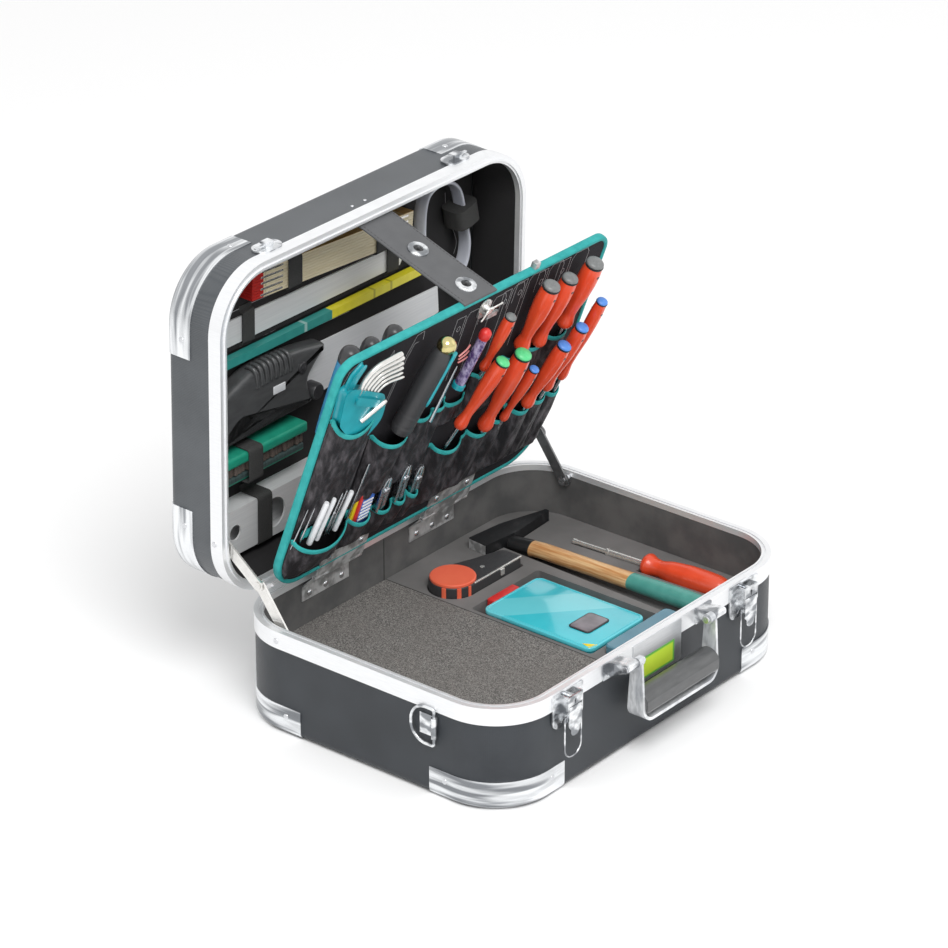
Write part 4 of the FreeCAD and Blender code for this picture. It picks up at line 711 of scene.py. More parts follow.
def makePocket(number, name, left, right, mouth, foot, deep, shallow, dip, table):
    half = board["half"]
    x = np.linspace(left * half, right * half, int((right - left) * half / cloth["step"]) + 2)
    down = np.linspace(0, 1, cloth["rows"])
    # half ellipses over each tool, joined by low valleys
    stand = np.maximum.reduce([part * np.sqrt(np.clip(1 - ((x - centre * half) / reach) ** 2, 0, 1)) ** 1.15
                               for centre, reach, part in table])
    side = np.clip(np.minimum(x - x[0], x[-1] - x) / cloth["side"], 0, 1)
    closing = 1 - np.clip((down - 1 + cloth["closing"]) / cloth["closing"], 0, 1) ** 1.5
    depth = (deep * (1 - down) + shallow * down) * closing
    rng = np.random.default_rng(number + cloth["seed"])
    phase, pitch = rng.random(4) * 6.28, rng.uniform(5, 13, 4)
    folds = sum(np.sin(x[None] / p * math.pi + f + down[:, None] * s)
                for p, f, s in zip(pitch, phase, (2.0, -1.5, 3.0, -2.5)))
    shown = np.clip(down * 4, 0, 1) * np.clip((1 - down) * 8, 0, 1)
    proud = cloth["least"] + depth[:, None] * (stand * side)[None]
    proud = np.maximum(proud + cloth["fold"] * (folds + 1.5) * side[None] * shown[:, None], cloth["least"])
    high, low = board["foot"] + mouth * board["high"], board["foot"] + foot * board["high"]
    rise = high - dip * stand[None] * (1 - down[:, None]) - down[:, None] * (high - low)
    radius = board["footRadius"]  # the sheet stays inside the board's round lower corners
    drop = np.clip(board["foot"] + radius - rise, 0, radius - 0.1)
    reach = half - radius - 4.0 + np.sqrt(radius ** 2 - drop ** 2)
    grid = columns(np.clip(x[None], -reach, reach), -board["face"] - proud, rise)
    made = piece(name, (grid.reshape(-1, 3), gridFaces(len(down), len(x))), "pocketCloth", "pallet",
                 "pallet_pockets", False, 180)
    solid = made.modifiers.new("cloth", "SOLIDIFY")
    solid.thickness, solid.offset = cloth["thickness"] * 0.001, -1.0
    edge = grid[0] + (0, -0.3, -cloth["hem"] / 2 + 0.6)
    hem = piece(name + "Hem", sweep(edge, circle(cloth["hemThick"], 12, cloth["hem"] / cloth["hemThick"]), (0, 0, 1)),
                "tealTape", "pallet", "pallet_pockets")


# pallet: screwdrivers, as shares of head and foot, their part of the full size and the cap's colour

driver = {"radius": 10.5, "flutes": 6, "flute": 0.035, "cap": 7.0, "hole": 1.6, "holeShare": 0.89}
driverShape = ((0.0, 0.62), (0.03, 0.80), (0.07, 0.82), (0.12, 0.72), (0.20, 0.58), (0.34, 0.66), (0.55, 0.90),
               (0.75, 1.0), (0.90, 0.97), (1.0, 0.86))
capShape = ((0.0, 0.80), (0.22, 0.88), (0.5, 0.84), (0.75, 0.68), (0.9, 0.45), (1.0, 0.16))
drivers = (  # how proud foot and head stand, then the row
    (8.0, 18.0, ((0.17, 0.91, 0.17, 0.66, 0.62, "grey"), (0.45, 0.96, 0.45, 0.67, 0.97, "grey"),
                 (0.60, 0.952, 0.60, 0.645, 0.90, "grey"), (0.787, 0.964, 0.787, 0.675, 1.0, "grey"))),
    (13.0, 27.5, ((0.153, 0.74, 0.085, 0.44, 0.80, "green"), (0.323, 0.72, 0.323, 0.36, 0.95, "green"),
                  (0.48, 0.61, 0.48, 0.35, 0.56, "blue"), (0.69, 0.65, 0.655, 0.36, 0.80, "blue"),
                  (0.80, 0.70, 0.79, 0.397, 0.76, "blue"), (0.905, 0.787, 0.905, 0.41, 0.64, "blue"))))


def makeDrivers():
    grips, rings, holeShades, caps = [], [], [], {"grey": [], "green": [], "blue": []}
    for footProud, headProud, row in drivers:
        for xHead, riseHead, xFoot, riseFoot, part, colour in row:
            foot, head = spot(xFoot, riseFoot, footProud), spot(xHead, riseHead, headProud)
            axis, radius = unit(head - foot), driver["radius"] * part
            grips.append(lathe(foot, head, eased(driverShape, 46, 1), 36, radius, driver["flutes"], driver["flute"]))
            rings.append(lathe(head - axis * 0.3, head + axis * 1.3 * part,
                               ((0, 0.8), (0.1, 0.9), (0.9, 0.92), (1, 0.84)), 32, radius))
            caps[colour].append(lathe(head + axis * 1.2 * part, head + axis * driver["cap"] * part,
                                      eased(capShape, 14, 1), 32, radius))
            # a black rod across each grip at its hang hole: painted shade for the hole
            middle = foot + (head - foot) * driver["holeShare"]
            aside = unit(np.cross(axis, (1.0, 0, 0))) * radius
            holeShades.append(lathe(middle - aside, middle + aside, ((0, 0.9), (0.02, 1), (0.98, 1), (1, 0.9)), 16,
                               driver["hole"] * (0.6 + 0.5 * part)))
    pieces("pallet", "driver_plastic", "screwdrivers", driverGrips=("driverRed", grips, 50),
           driverRings=("ringBlack", rings), driverHoles=("ringBlack", holeShades),
           **{colour + "DriverCaps": (colour + "Cap", shapes) for colour, shapes in caps.items()})


# pallet: hex keys in their holder, from the holder up and over to the tip, each with its radius

keys = ((-0.885, 0.855, -0.845, 0.965, -0.655, 0.992, 2.9), (-0.865, 0.848, -0.815, 0.948, -0.632, 0.968, 2.6),
        (-0.838, 0.840, -0.785, 0.925, -0.622, 0.942, 2.3), (-0.81, 0.832, -0.755, 0.905, -0.612, 0.918, 2.0),
        (-0.785, 0.825, -0.725, 0.885, -0.60, 0.893, 1.8), (-0.76, 0.815, -0.70, 0.865, -0.575, 0.868, 1.6))
holder = (  # outline, points in it, smoothing, low, high, edge, steps
    (((-0.975, 0.905), (-0.93, 0.90), (-0.68, 0.805), (-0.64, 0.74), (-0.64, 0.69), (-0.70, 0.650), (-0.80, 0.655),
      (-0.95, 0.77)), 90, 3, 1.6, 12.0, 3.5, 6),
    (((-0.965, 0.86), (-0.93, 0.95), (-0.875, 0.985), (-0.86, 0.975), (-0.90, 0.93), (-0.93, 0.85)),
     60, 2, 2.0, 7.0, 1.6, 4),
    (((-0.90, 0.87), (-0.71, 0.80), (-0.70, 0.775), (-0.90, 0.845)), 60, 2, 10.0, 14.5, 1.4, 4))


def makeKeys():
    bars = []
    for x0, r0, x1, r1, x2, r2, radius in keys:
        path = curve([spot(x0 - 0.01, r0 - 0.05, 7.0), spot(x1, r1, 9.5), spot(x2, r2, 14.0)], 16.0, 2.0, 10)
        ends = np.ones(len(path))
        ends[-3:] = (0.97, 0.85, 0.5)
        bars.append(sweep(path, circle(radius, 12), (0, 1, 0), False, ends))
    short = dense([spot(-0.80, 0.735, 11.0), spot(-0.675, 0.80, 15.5)])
    ends = np.interp(np.arange(len(short)), (0, len(short) - 3, len(short) - 1), (1, 1, 0.6))
    bars.append(sweep(short, circle(2.6, 12), (0, 1, 0), False, ends))
    pieces("pallet", "tool_steel", "hex_keys", hexKeyBars=("satinSilver", bars, 35))
    parts = [slab(flowing(drawn(outline), count, passes), *levels) for outline, count, passes, *levels in holder]
    pieces("board", "tool_steel", "hex_keys", hexKeyHolder=("tealPlastic", parts))


# pallet: cable knife with its brass ball and slide, slim file, tester

knife = {"head": (-0.34, 0.93, 19.0), "foot": (-0.44, 0.584, 12.5), "radius": 11.5, "ball": 9.5, "slide": 0.37,
         "slideWay": (0.42, -0.9, -0.1), "rib": 0.045}
slim = {"foot": (-0.16, 0.53, 9.0), "head": (-0.115, 0.77, 12.0)}
tester = {"head": (0.03, 0.885, 14.0), "foot": (-0.02, 0.6335, 9.0), "radius": 5.4}


def makeKnife():
    foot, head = spot(*knife["foot"]), spot(*knife["head"])
    axis, ball, radius = unit(head - foot), knife["ball"], knife["radius"]
    shape = eased(((0.0, 0.82), (0.05, 0.98), (0.3, 0.93), (0.6, 1.0), (0.86, 0.98), (0.95, 0.86), (1.0, 0.66)), 60)
    share = shape[:, 0]
    ribs = knife["rib"] * np.clip(np.sin(share * 2 * math.pi / 0.045), 0, 1) * (share > 0.03) * (share < 0.28)
    shape[:, 1] = shape[:, 1] - ribs
    body = lathe(foot, head, shape, 40, radius)
    dome = ((0.0, 0.55), (0.12, 0.86), (0.3, 1.0), (0.5, 1.0), (0.7, 0.9), (0.86, 0.66), (0.96, 0.36), (1.0, 0.08))
    end = lathe(head - axis * ball * 0.35, head + axis * ball * 1.45, eased(dome, 20, 1), 36, ball)
    share, out = np.linspace(knife["slide"], 1.0, 24), unit(np.array(knife["slideWay"]))
    line = foot + (head - foot) * share[:, None] + out * (radius - 0.6)
    width = 1 - np.clip(1 - (share - knife["slide"]) / 0.06, 0, 1) ** 2 * 0.5
    pieces("pallet", "knife_plastic", "cable_knife", knifeBody=("blackPlastic", body), knifeBall=("brass", end),
           knifeSlide=("tealPlastic", sweep(line, squared(10.0, 3.8, 3, 18), out, False, width)))
    file = lathe(spot(*slim["foot"]), spot(*slim["head"]), ((0, 1.9), (0.5, 1.7), (0.93, 1.2), (1, 0.5)), 8)
    piece("slimFile", file, "toolSteel", "pallet")


def makeTester():
    foot, head, radius = spot(*tester["foot"]), spot(*tester["head"]), tester["radius"]
    axis = unit(head - foot)
    body = eased(((0.0, 0.8), (0.1, 1.0), (0.5, 0.96), (0.8, 1.0), (1.0, 0.9)), 24)
    cap = eased(((0.0, 0.9), (0.3, 1.12), (0.7, 1.08), (0.9, 0.7), (1.0, 0.3)), 16)
    ring = ((0, 1.0), (0.1, 1.2), (0.9, 1.2), (1, 1.0))
    pieces("pallet", "mixed_small", "small_tools",
           testerBody=("clearPurple", lathe(foot, head - axis * 8, body, 12, radius)),
           testerCap=("redPaint", lathe(head - axis * 10, head + axis * 2.5, cap, 24, radius)),
           testerRing=("tealPlastic", lathe(foot + axis, foot + axis * 7, ring, 24, radius)))


# pallet: rods (x, top, radius, how proud, turned shape, pale), cards, small pliers' jaws, and sleeves behind

rods = ((-0.948, 0.378, 0.9, 2.0, 1, 0), (-0.907, 0.374, 1.1, 3.5, 1, 0), (-0.841, 0.385, 3.1, 6.5, 0, 1),
        (-0.786, 0.385, 2.5, 6.5, 0, 1), (-0.73, 0.392, 1.8, 6.5, 1, 0), (-0.70, 0.395, 1.3, 6.5, 0, 0),
        (-0.655, 0.375, 2.6, 6.5, 0, 1), (-0.581, 0.475, 1.2, 6.5, 0, 0))
rodShapes = (((0, 0.9), (0.02, 1), (0.96, 1), (1, 0.8)),
             ((0, 0.9), (0.02, 1), (0.55, 1), (0.56, 0.72), (0.93, 0.72), (0.97, 0.5), (1, 0.2)))
cards = (("yellowCard", -0.524, 0.335, 2.4, 3.2, "yellowPaint"), ("redCard", -0.506, 0.305, 4.2, 3.0, "redPaint"),
         ("blueCard", -0.455, 0.295, 4.4, 9.0, "bluePaint"))
heads = ((-0.34, 0.33), (-0.20, 0.34), (-0.08, 0.30))
pliers = ((-0.82, -0.86, 10.5), (-0.68, -0.73, 9.2), (-0.51, -0.56, 9.6))


def makeSmallTools():
    groups = ([], [])
    for x, top, radius, proud, shape, pale in rods:
        low, high = spot(x - 0.02, 0.20, proud), spot(x, top, proud + 2.5)
        groups[pale].append(lathe(low, high, rodShapes[shape], 12, radius))
    pieces("pallet", "mixed_small", "small_tools", steelRods=("toolSteel", groups[0]),
           paleRods=("whitePaint", groups[1]))
    teeth = np.linspace(-0.92, -0.60, 60)
    back = board["face"] + 2.0 + 1.2 * np.abs(np.sin(teeth * 110))
    edge = columns(teeth * board["half"], -back, spot(0, 0.245, 0)[2])
    piece("rodComb", sweep(edge, squared(1.2, 12.0, 3, 10), (0, 0, 1)), "tealTape", "pallet")
    shown = {}
    for name, x, top, proud, half, finish in cards:
        middle, low, high = x * board["half"], spot(x, 0.15, 0)[2], spot(x, top, 0)[2]
        sides = middle - half, middle + half, low, high, (1, 1, 3.2, 3.2)
        shown[name] = finish, block(*sides, proud - 1.1, proud + 2.9, 1.0)
    middle, half = cards[2][1] * board["half"], 7.6
    stripes = [block(middle - half, middle + half, high, high + 2.6, 0.5, 6.8, 7.9, 0.4)
               for high in np.arange(spot(0, 0.175, 0)[2], spot(0, 0.265, 0)[2], 4.6)]
    jaws = []
    for x, top in heads:
        middle, low, high = x * board["half"], spot(x, 0.17, 0)[2], spot(x, top, 0)[2]
        for side in (-1, 1):
            blade = [(middle + side * aside, level) for aside, level in (
                (1.0, low), (6.5, low + 4), (6.8, high - 14), (4.0, high - 3), (1.6, high), (0.5, high - 1))]
            jaws.append(slab(blade[::side], 3.5, 10.0, 0.9))
        jaws.append(button((middle, high - 17, 9.0), (middle, high - 17, 11.6), 4.4, 3.6, 20))
    pieces("board", "mixed_small", "small_tools", **shown, cardStripes=("whitePaint", stripes),
           plierJaws=("toolSteel", jaws))


def makePliers():
    sleeves, ends = [], []
    for headX, footX, radius in pliers:
        foot, head = spot(footX, 0.625, -8.5 - radius), spot(headX, 0.985, -8.5 - radius)
        shape = eased(((0.0, 0.55), (0.2, 0.72), (0.6, 0.92), (0.84, 0.96)), 20)
        sleeves.append(lathe(foot, head, shape, 28, radius))
        tip = eased(((0.0, 0.86), (0.15, 1.0), (0.55, 1.0), (0.8, 0.84), (0.93, 0.55), (1.0, 0.15)), 20)
        ends.append(lathe(foot + (head - foot) * 0.80, head, tip, 28, radius))
    pieces("pallet", "plier_grip", "back_pliers", plierSleeves=("plierBlue", sleeves), plierEnds=("darkRubber", ends))


# pallet: pale outlines beside each tool

outlines = {"width": 0.55, "lift": 1.45, "bracket": ((2.6, 0.09), (2.6, 0.005), (1.3, 0.005), (1.3, 0.09)), "drivers": (
    (0.17, 0.965, 0.66, 0.05), (0.31, 0.975, 0.70, 0.045), (0.45, 0.985, 0.68, 0.062), (0.60, 0.985, 0.66, 0.055),
    (0.787, 0.985, 0.68, 0.065), (-0.02, 0.955, 0.66, 0.05)), "others": (
    [(-0.585, 0.60), (-0.56, 0.66), (-0.50, 0.90), (-0.46, 0.975), (-0.41, 0.98), (-0.40, 0.94)],
    [(-0.545, 0.66), (-0.49, 0.88), (-0.46, 0.94), (-0.43, 0.94)],
    [(-0.975, 0.60), (-0.975, 0.80), (-0.97, 0.90), (-0.94, 0.96), (-0.88, 0.985)],
    [(-0.66, 0.90), (-0.62, 0.96), (-0.60, 0.90), (-0.61, 0.84)])}


def makeOutlines():
    lines = []
    for x, top, low, half in outlines["drivers"]:
        lines.append([(x - half, low), (x - half, top - 0.02), (x - half * 0.7, top), (x + half * 0.7, top),
                      (x + half, top - 0.02), (x + half, low)])
        lines.append([(x - half * 1.9 + 0.012 * math.cos(a), top - 0.055 + 0.011 * math.sin(a))
                      for a in np.linspace(0, 2 * math.pi, 13)])
        lines.append([(x - half * aside, top - fall) for aside, fall in outlines["bracket"]])
    lines.extend(outlines["others"])
    shapes = [ribbon(dense(drawn(line), 3.0), outlines["width"], outlines["lift"]) for line in lines]
    piece("toolOutlines", shapes, "outlineInk", "board", shut=False)


# lid: strap to the pallet with its stitches and ring snaps

strap = {"half": 24.5, "centre": -3.0, "thick": 2.5, "keep": 0.14, "stitchStart": 31.0, "stitchPitch": 4.4, "inset": 2.6,
         "line": ((199.5, 444.8), (184.0, 445.2), (171.5, 443.8), (130.0, 428.6), (88.0, 413.6), (46.0, 399.6),
                  (41.0, 397.4)), "from": (172.3, 443.9), "to": (44.3, 399.2)}
snap = {"places": (83.4, 145.96), "radius": 11.0, "high": 3.0, "sides": 40,
        "section": ((0, 1.0), (0.55, 1.0), (0.86, 0.93), (1.0, 0.80), (1.0, 0.58), (0.82, 0.47), (0.3, 0.42), (0, 0.42)),
        "socket": ((0, 4.7), (0.5, 4.7), (0.7, 3.4), (1, 3.0)), "pin": ((0, 1.5), (0.7, 1.8), (1, 0.8))}


def makeStrap():
    line = curve([(strap["centre"], y, z) for y, z in strap["line"]], 8.0, 3.0)
    half = strap["thick"] / 2
    cut = roundBox(-strap["half"], strap["half"], -half, half, 1.1, 4)
    stitches, rings, socketShades = [], [], []
    heading = unit(np.gradient(line, axis=0))
    over = unit(np.cross(np.cross(heading, (0, 0, 1.0)), heading))
    run = lengths(line)
    for side in (-1, 1):
        for start in np.arange(strap["stitchStart"], run[-1] - 6, strap["stitchPitch"]):
            ends = picked(line + over * (half + 0.05), run, start + np.array([0.0, 1.4, 2.8]))
            ends = ends + (side * (strap["half"] - strap["inset"]), 0, 0)
            stitches.append(sweep(ends, circle(0.42, 6), (1, 0, 0), False, [0.5, 1.0, 0.5]))
    slope = unit(np.array((0, *strap["to"])) - (0, *strap["from"]))
    upward = np.array([0, slope[2], -slope[1]])
    level, reach = (np.array(snap["section"]) * (snap["high"], snap["radius"])).T[:, :, None, None]
    angle = turns(snap["sides"])[:, None]
    across = np.cos(angle) * np.array([1.0, 0, 0]) + np.sin(angle) * slope
    for place in snap["places"]:
        middle = picked(line, run, [place])[0] + upward * (half - 0.2)
        points = middle + level * upward + reach * across[None]
        rings.append((points.reshape(-1, 3), gridFaces(len(level), snap["sides"], True, True)))
        # a black cone and pin inside each snap ring: painted shade for the ring's hollow
        socketShades.append(lathe(middle + upward * 0.1, middle + upward * 1.7, snap["socket"], 6))
        socketShades.append(lathe(middle + upward * 1.2, middle + upward * 3.0, snap["pin"], 12))
    made = pieces("openLid", "strap_leather", "leather_strap",
                  lidStrap=("strapLeather", sweep(line, cut, (0, 0, 1)), 50), strapStitches=("thread", stitches))
    made += pieces("openLid", "chrome_trim", "leather_strap", strapRings=("chrome", rings),
                   strapSockets=("ringBlack", socketShades))
    for part in made:
        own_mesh(part)


# lid: webbing over the tools, each strip its own sheet: across, first and last place, height, width

loops = {
    "ruleLoopLeft": (-71.3, -131.2, -100.4, 16.4, 19.0), "ruleLoopRight": (59.8, -123.4, -92.4, 16.4, 19.0),
    "toothedLoopLeft": (-124.2, -87.4, -56.8, 2.4, 18.0), "toothedLoopRight": (92.0, -82.2, -56.8, 2.4, 18.0),
    "planeLoop": (-142.6, 44.7, 77.9, 27.3, 20.0), "levelLoopLeft": (-124.2, 104.3, 154.7, 22.3, 20.0),
    "levelLoopRight": (126.5, 104.3, 154.7, 22.3, 20.0),
}
lidFace = 171.6  # the board's face, seen with the lid shut


def makeLoops():
    for name, (x, first, last, height, width) in loops.items():
        base, top, near, far = lidFace - 0.1, lidFace - 1.0 - height, first - 1.0, last + 1.0
        line = curve([(x, near - 7, base), (x, near - 0.6, base), (x + 0.8, near, top), (x + 0.8, far, top),
                      (x, far + 0.6, base), (x, far + 7, base)], 4.0)
        swell = 1 + 0.03 * math.sin(line[0, 1] * 0.35) + 0.02 * math.sin(line[0, 2] * 0.6)  # no two quite alike
        cut = roundBox(-0.75, 0.75, -width / 2, width / 2, 0.6, 4) * (1, swell)
        made = piece(name, sweep(line, cut, (1, 0, 0)), "loopWeb", "lid", "holding_loops", sharp=60)


# lid: saw grip with its ribs, label and knobs

grip = {"outline": ((-200, -8), (-174, -20), (-138, -34), (-112, -36.5), (-86, -35), (-55, -31), (-26, -26),
                    (-40, -12), (-56, 3), (-52, 18), (-46, 32), (-90, 31), (-134, 28), (-150, 13), (-165, 20),
                    (-172, 40), (-196, 40)),
        "low": 149.9, "soft": 6.5, "ribs": 8, "ribStart": -134.0, "ribPitch": 7.0,
        "rib": ((-1.5, -0.2, 160.0), (-1.3, -0.6, 153.5), (-0.6, 3.0, 149.3), (1.5, 13.0, 148.9), (2.6, 20.0, 150.4))}


def makeGrip():
    body = slab(flowing(grip["outline"], 150, 5), grip["low"], lidFace, grip["soft"], 6)
    ribs = []
    for index in range(grip["ribs"]):
        x = grip["ribStart"] + index * grip["ribPitch"]
        high = -36.4 + 0.0009 * (x + 106) ** 2 * 1.4
        path = curve([(x + aside, high + on, z) for aside, on, z in grip["rib"]], 5.0)
        ribs.append(sweep(path, circle(2.3, 10), (1, 0, 0)))
    label = block(-108.5, -91.0, -7.0, 1.5, 0.8, 149.3, 150.2, 0.3)
    knobs = [button((-66, -13, 150.2), (-66, -13, 147.6), 6.0, 5.2, 28),
             button((-66, -13, 147.8), (-66, -13, 146.8), 2.8, 2.2, 20),
             button((-44, 21, 160.0), (-44, 21, 147.5), 9.0, 7.6, 32, 0.8)]
    pieces("lid", "grip_plastic", "saw_grip", sawGripBody=("gripGloss", body, 60), sawGripRibs=("gripGloss", ribs),
           sawGripLabel=("whitePaint", label), sawGripKnobs=("darkRubber", knobs))


# lid: the rule's joints, the plane's rails and bristles

rule = {"leaves": 5, "pitch": 6.0, "first": -12.2, "half": 1.15, "joints": ((-108, -76), (84, 112))}
plane = {"left": -184.0, "right": -62.5, "tufts": (-183.0, -66.0, 6.0), "tuft": 5.0}


def makeRuleJoints():
    plates = []
    for index in range(rule["leaves"]):
        across = rule["first"] + index * rule["pitch"]
        plates += [block(left, right, across - rule["half"], across + rule["half"], 0.5, 155.0, 156.5, 0.3, 3)
                   for left, right in rule["joints"]]
    piece("ruleJoints", plates, "satinSilver", "rule")


def makePlane():
    rails = [block(plane["left"], plane["right"], 44.9, 56.5, 3.0, 144.9, lidFace, 3.0),
             block(plane["left"], plane["right"], 69.5, 77.7, 2.5, 150.5, lidFace, 2.0)]
    tufts = [block(left, left + plane["tuft"], 57.0, 69.0, 1.8, 149.5 + (number % 3) * 0.8, lidFace, 1.5, 4)
             for number, left in enumerate(np.arange(*plane["tufts"]))]
    pieces("lid", "plane_green", "small_plane", planeRails=("greenPlane", rails), planeBristles=("bristle", tufts))


# lid: the curved saw frame and the band round it

bow = {"line": ((124.0, -64.0), (122.5, -90.0), (123.0, -114.0), (128.0, -131.0), (146.0, -136.5), (167.0, -133.0),
                (179.0, -121.0), (184.0, -104.0), (189.0, -82.0), (195.0, -58.0), (192.0, -38.0), (181.0, -25.0),
                (171.0, -19.0)),
       "count": 110, "passes": 14, "level": 158.2, "wide": 4.41924, "deep": 15.1809,
       "bandWide": 32.67189, "bandDeep": 28.6, "bandFrom": -104, "bandTo": -79}


def makeFrame():
    table = np.array(bow["line"])
    length = lengths(table)
    line = picked(table, length, np.linspace(0, length[-1], bow["count"]))
    x, y = smoothed(line, bow["passes"]).T
    path = columns(x, y, bow["level"])
    tube = sweep(path, squared(1.0, 1.0, 3.0, 28) * (bow["wide"], bow["deep"]), (0, 0, 1))
    piece("hacksawFrame", tube, "lilacGrey", "lid", "hacksaw_frame", sharp=60)
    held = (y > bow["bandFrom"]) & (y < bow["bandTo"]) & (x > 150)
    strip = sweep(path[held], squared(1.0, 1.0, 3.6, 32) * (bow["bandWide"], bow["bandDeep"]), (0, 0, 1))
    wrap = piece("frameBand", strip, "loopWeb", "lid", sharp=60)


# lid: pale outlines on the board

lidLines = (((-170, -30), (-150, -46), (-120, -51), (-88, -52), (-78, -47), (-70, -38)),
            ((-88, -52), (40, -47), (90, -45)), ((-70, -38), (-14, -34), (30, -33)),
            ((-194, 44), (-150, 36), (-96, 36), (-40, 40)),
            ((-200, -92), (-120, -93), (80, -88)), ((-196, -50), (-60, -50), (60, -42)),
            ((178, -112), (179, -96), (184, -80), (194, -62), (198, -50), (193, -40)))
lidInk = 171.45  # just proud of the board


def makeLidLines():
    shapes = [ribbon(curve(line, 12.0, 4.0), 0.7, lidInk) for line in lidLines]
    for x in np.arange(-166, -128, 6.0):
        top = np.interp(x, (-170, -150, -120), (-30, -46, -51))
        shapes.append(ribbon(np.array([(x, top), (x + 1.5, top + 5), (x + 3, top + 10)]), 0.8, lidInk))
    angle = np.linspace(0, 2 * math.pi, 15)
    for x in np.arange(-122, -92, 8.0):
        shapes.append(ribbon(columns(x + 2.3 * np.cos(angle), -47 + 2.3 * np.sin(angle)), 0.7, lidInk))
    piece("lidOutlines", shapes, "outlineInk", "lid", shut=False)


# base: tape measure

tape = {"x": 25.5, "y": 100.0, "low": 39.2, "top": 66.0, "dial": 23.5, "round": 24.6, "from": 58, "to": 262,
        "nose": ((22.0, 75.3), (60.0, 75.2), (103.0, 75.2), (106.0, 78.0), (106.2, 96.0), (103.0, 101.5),
                 (72.0, 110.5), (48.0, 119.5)), "bars": ((198, 4.6), (234, 4.6), (262, 3.4)), "barReach": 24.7}


def makeTape():
    x, y, top = tape["x"], tape["y"], tape["top"]
    angle = np.radians(np.linspace(tape["from"], tape["to"], 40))
    arc = columns(x + tape["round"] * np.cos(angle), y + tape["round"] * np.sin(angle))
    outline = flowing(np.concatenate([arc[:-1], tape["nose"]]), 160, 2)
    trim = block(30.0, 105.0, 75.0, 77.2, 0.9, top - 1.2, top + 0.7, 0.5, 4)
    disc = ((0, 1.0), (0.72, 1.0), (0.93, 0.975), (1.0, 0.94), (1.0, 0.90), (0.985, 0.3), (0.98, 0.05))
    dial = [lathe((x, y, top - 0.3), (x, y, top + 3.0), disc, 64, tape["dial"])]
    for degrees, wide in tape["bars"]:
        out = np.array([math.cos(math.radians(degrees)), math.sin(math.radians(degrees)), 0])
        path = [(x + tape["barReach"] * out[0], y + tape["barReach"] * out[1], z) for z in np.linspace(54.0, 65.6, 6)]
        dial.append(sweep(path, squared(wide, 1.8, 4, 12), out))
    clip = [block(70.0, 76.0, 73.9, 75.6, 0.6, 58.0, 65.0, 0.4, 3),
            button((62, 92, 65.8), (62, 92, 66.5), 2.4, 1.6, 16)]
    pieces("base", "tape_orange", "tape_measure", tapeBody=("blackPlastic", slab(outline, tape["low"], top, 1.6)),
           tapeEdge=("satinSilver", trim), tapeDial=("orangePlastic", dial), tapeClip=("satinSilver", clip))


# base: long screwdriver

longDriver = {
    "turn": -3.0, "butt": (188.0, -117.0, 57.0), "grip": 96.0, "blade": 88.0, "radius": 13.9,
    "shape": ((0, 0.70), (0.03, 0.84), (0.10, 0.93), (0.22, 0.98), (0.45, 1.0), (0.66, 0.86), (0.80, 0.64),
              (0.88, 0.70), (0.94, 0.92), (0.98, 0.88), (1.0, 0.70)),
    "rod": ((0, 3.6), (0.5, 3.6), (0.505, 4.2), (0.535, 4.2), (0.54, 2.5), (0.93, 2.5), (0.97, 3.2), (0.995, 3.0),
            (1.0, 1.2))}


def makeLongDriver():
    turn = math.radians(longDriver["turn"])
    axis, butt = np.array([math.sin(turn), math.cos(turn), 0]), np.array(longDriver["butt"])
    collar = butt + axis * longDriver["grip"]
    handle = lathe(butt, collar, eased(longDriver["shape"], 70), 48, longDriver["radius"], 6, 0.035)
    rod = lathe(collar - axis * 2, collar + axis * longDriver["blade"], longDriver["rod"], 20)
    end = lathe(butt - axis * 0.4, butt + axis * 3, ((0, 0.3), (0.05, 0.62), (1, 0.8)), 32, 12.0)
    for name, shape, finish, slot in (("Grip", handle, "driverRed", "driver_plastic"),
                                      ("Blade", rod, "satinSilver", "tool_steel"),
                                      ("End", end, "darkRubber", "driver_plastic")):
        piece("longDriver" + name, shape, finish, "base", "long_screwdriver")


# base: the parts box with the card on it, and the cases beside it: sides, corner, low, high, edge, steps

partsBox = {"lid": (2.6, 92.4, -91.4, 44.4, 8.5, 54.0, 58.9, 1.2, 8), "rim": (5.4, 89.6, -88.6, 41.6, 6.5, 8),
            "tray": (4.0, 91.0, -90.0, 43.0, 7.5, 37.2, 54.2, 0.6, 8), "rimHigh": 58.9, "rimRadius": 0.55,
            "card": (26.5, 63.0, -70.0, -43.7, 4.5, 58.8, 60.2, 0.5),
            "cardFace": (28.0, 61.5, -68.5, -45.2, 3.5, 60.0, 60.4, 0.15),
            "corner": (((5.0, -87.6), (15.5, -90.2), (8.0, -77.0)), 58.7, 59.2, 0.2),
            "redCase": (25.0, 66.0, 46.6, 56.4, 2.0, 37.0, 57.0, 1.4, 4),
            "blueCase": (95.5, 106.5, -60.0, 30.0, 2.0, 37.0, 47.0, 1.4, 4)}


def makeBoxes():
    edge = roundBox(*partsBox["rim"])
    rim = sweep(columns(*edge.T, partsBox["rimHigh"]), circle(partsBox["rimRadius"], 8), (0, 0, 1), True)
    shell = [block(*partsBox["lid"]), block(*partsBox["tray"]), rim]
    piece("partsBoxShell", shell, "turquoiseCard", "base", "parts_box")
    pieces("base", "turquoise_plastic", boxCard=("blackPlastic", block(*partsBox["card"])),
           boxCardFace=("cardGrey", block(*partsBox["cardFace"])), boxCorner=("yellowPaint", slab(*partsBox["corner"])))
    pieces("base", "tape_orange", redCase=("redPaint", block(*partsBox["redCase"])))
    pieces("base", "turquoise_plastic", blueCase=("tealPlastic", block(*partsBox["blueCase"])))


# base: hammer, whose haft runs from y 114 to -131 and swells by shares

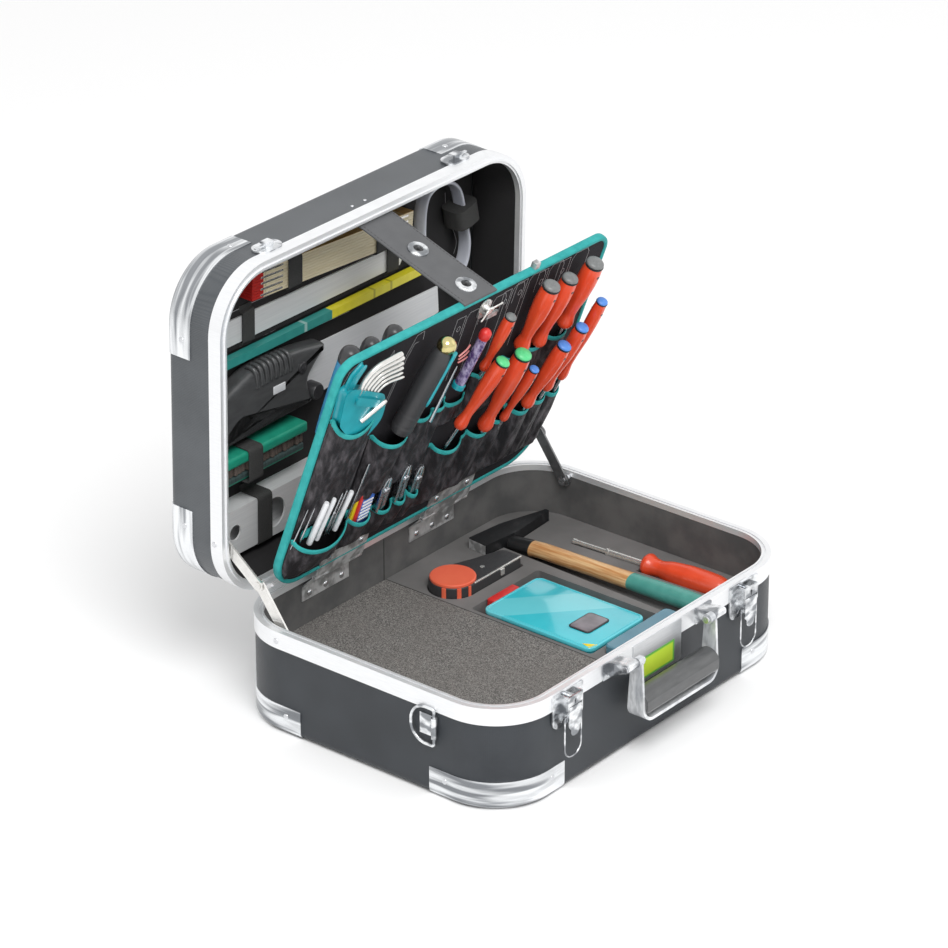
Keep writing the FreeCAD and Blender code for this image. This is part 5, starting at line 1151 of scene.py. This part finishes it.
hammer = {"x": 137.0, "y": 126.5, "turn": -6.0, "from": 114.0, "to": -131.0, "lean": 0.0367, "radius": 11.0,
          "flat": 10.0 / 11.0, "swell": ((0, 0.09, 0.106, 0.112, 0.25, 0.42, 0.58, 0.72, 0.88, 1.0),
                                         (0.84, 0.86, 0.88, 0.82, 0.84, 0.82, 0.86, 0.95, 1.0, 0.92))}


def makeHammer():
    points, faces = block(-36.0, -34.8, -11.9, 11.9, 0.5, 42.6, 65.6, 0.3, 3)
    x, y = turned(points[:, 0], points[:, 1], hammer["turn"])
    face = columns(hammer["x"] + x, hammer["y"] + y, points[:, 2])
    piece("hammerFace", (face, faces), "brightSteel", "base")
    y = np.linspace(hammer["from"], hammer["to"], 90)
    share = (hammer["from"] - y) / (hammer["from"] - hammer["to"])
    path = columns(hammer["x"] + (hammer["y"] - y) * hammer["lean"], y, 55.0 + 3.4 * np.clip(share / 0.16, 0, 1))
    swell = np.interp(share, *hammer["swell"])
    swell[-2:] *= (0.94, 0.80)
    haft = sweep(path, circle(hammer["radius"], 32, hammer["flat"]), (0, 0, 1), False, swell)
    piece("haftBody", haft, "ashHaft", "base", "hammer_haft", sharp=60)


# pallet: wires, turn lock wing, and screws on the hinge plates

wireEnds = ((-0.13, 0.815, 0.02), (-0.125, 0.80, 0.008), (-0.12, 0.785, -0.004))
wing = {"place": (0.045, 0.953), "arm": ((0, 1.5, 0), (5.0, 0.4, 2.2), (11.0, -1.2, 5.0), (14.0, -1.6, 6.2))}
screws = {"plates": (-96.0, 68.0), "dome": ((0, 3.4), (0.2, 3.4), (0.6, 2.9), (0.85, 1.9), (1, 0.5))}


def makeSmallTrim():
    wires = []
    for x, rise, climb in wireEnds:
        a, b = spot(x, rise, 12.0), spot(x + 0.085, rise + climb, 10.0)
        wires.append(sweep(curve([a, (a + b) / 2 + (0, -2.0, 2.5), b], 10), circle(0.9, 8), (0, 1, 0)))
    piece("wireEnds", wires, "pinkWire", "pallet")
    foot, top = spot(*wing["place"], 1.0), spot(*wing["place"], 9.0)
    shapes = [lathe(foot, top, ((0, 9.0), (0.12, 9.0), (0.2, 4.5), (0.6, 3.2), (1, 3.0)), 28)]
    for side in (-1, 1):
        arm = curve([top + np.array((side * x, y, side * z)) for x, y, z in wing["arm"]], 3.0, 1.5)
        ends = np.interp(np.arange(len(arm)), (0, 3, 8, 11), (0.9, 1.0, 0.9, 0.5))
        shapes.append(sweep(arm, squared(5.6, 2.6, 2.6, 16), (0, 1, 0), False, ends))
    piece("turnLockWing", shapes, "satinSilver", "pallet")
    for name, place, asides, y, z in (("leafScrews", "pallet", (-24, 24), -2.2, 25.0),
                                      ("wallScrews", "base", (-24, 0, 24), 162.7, 88.0)):  # asides along the hinge
        shapes = [lathe((middle + aside, y, z), (middle + aside, y - 2.0, z), screws["dome"], 20)
                  for middle in screws["plates"] for aside in asides]
        piece(name, shapes, "rivetSteel", place)


makeBinding()
for number, (name, sizes) in enumerate(pockets.items()):
    makePocket(number, name, *sizes)
for make in (makeDrivers, makeKeys, makeKnife, makeTester, makeSmallTools, makePliers, makeOutlines):
    make()
print("pallet pieces")
for make in (makeStrap, makeLoops, makeGrip, makeRuleJoints, makePlane, makeFrame, makeLidLines):
    make()
print("lid pieces")
for make in (makeTape, makeLongDriver, makeBoxes, makeHammer, makeSmallTrim):
    make()
print("base pieces and small trim")
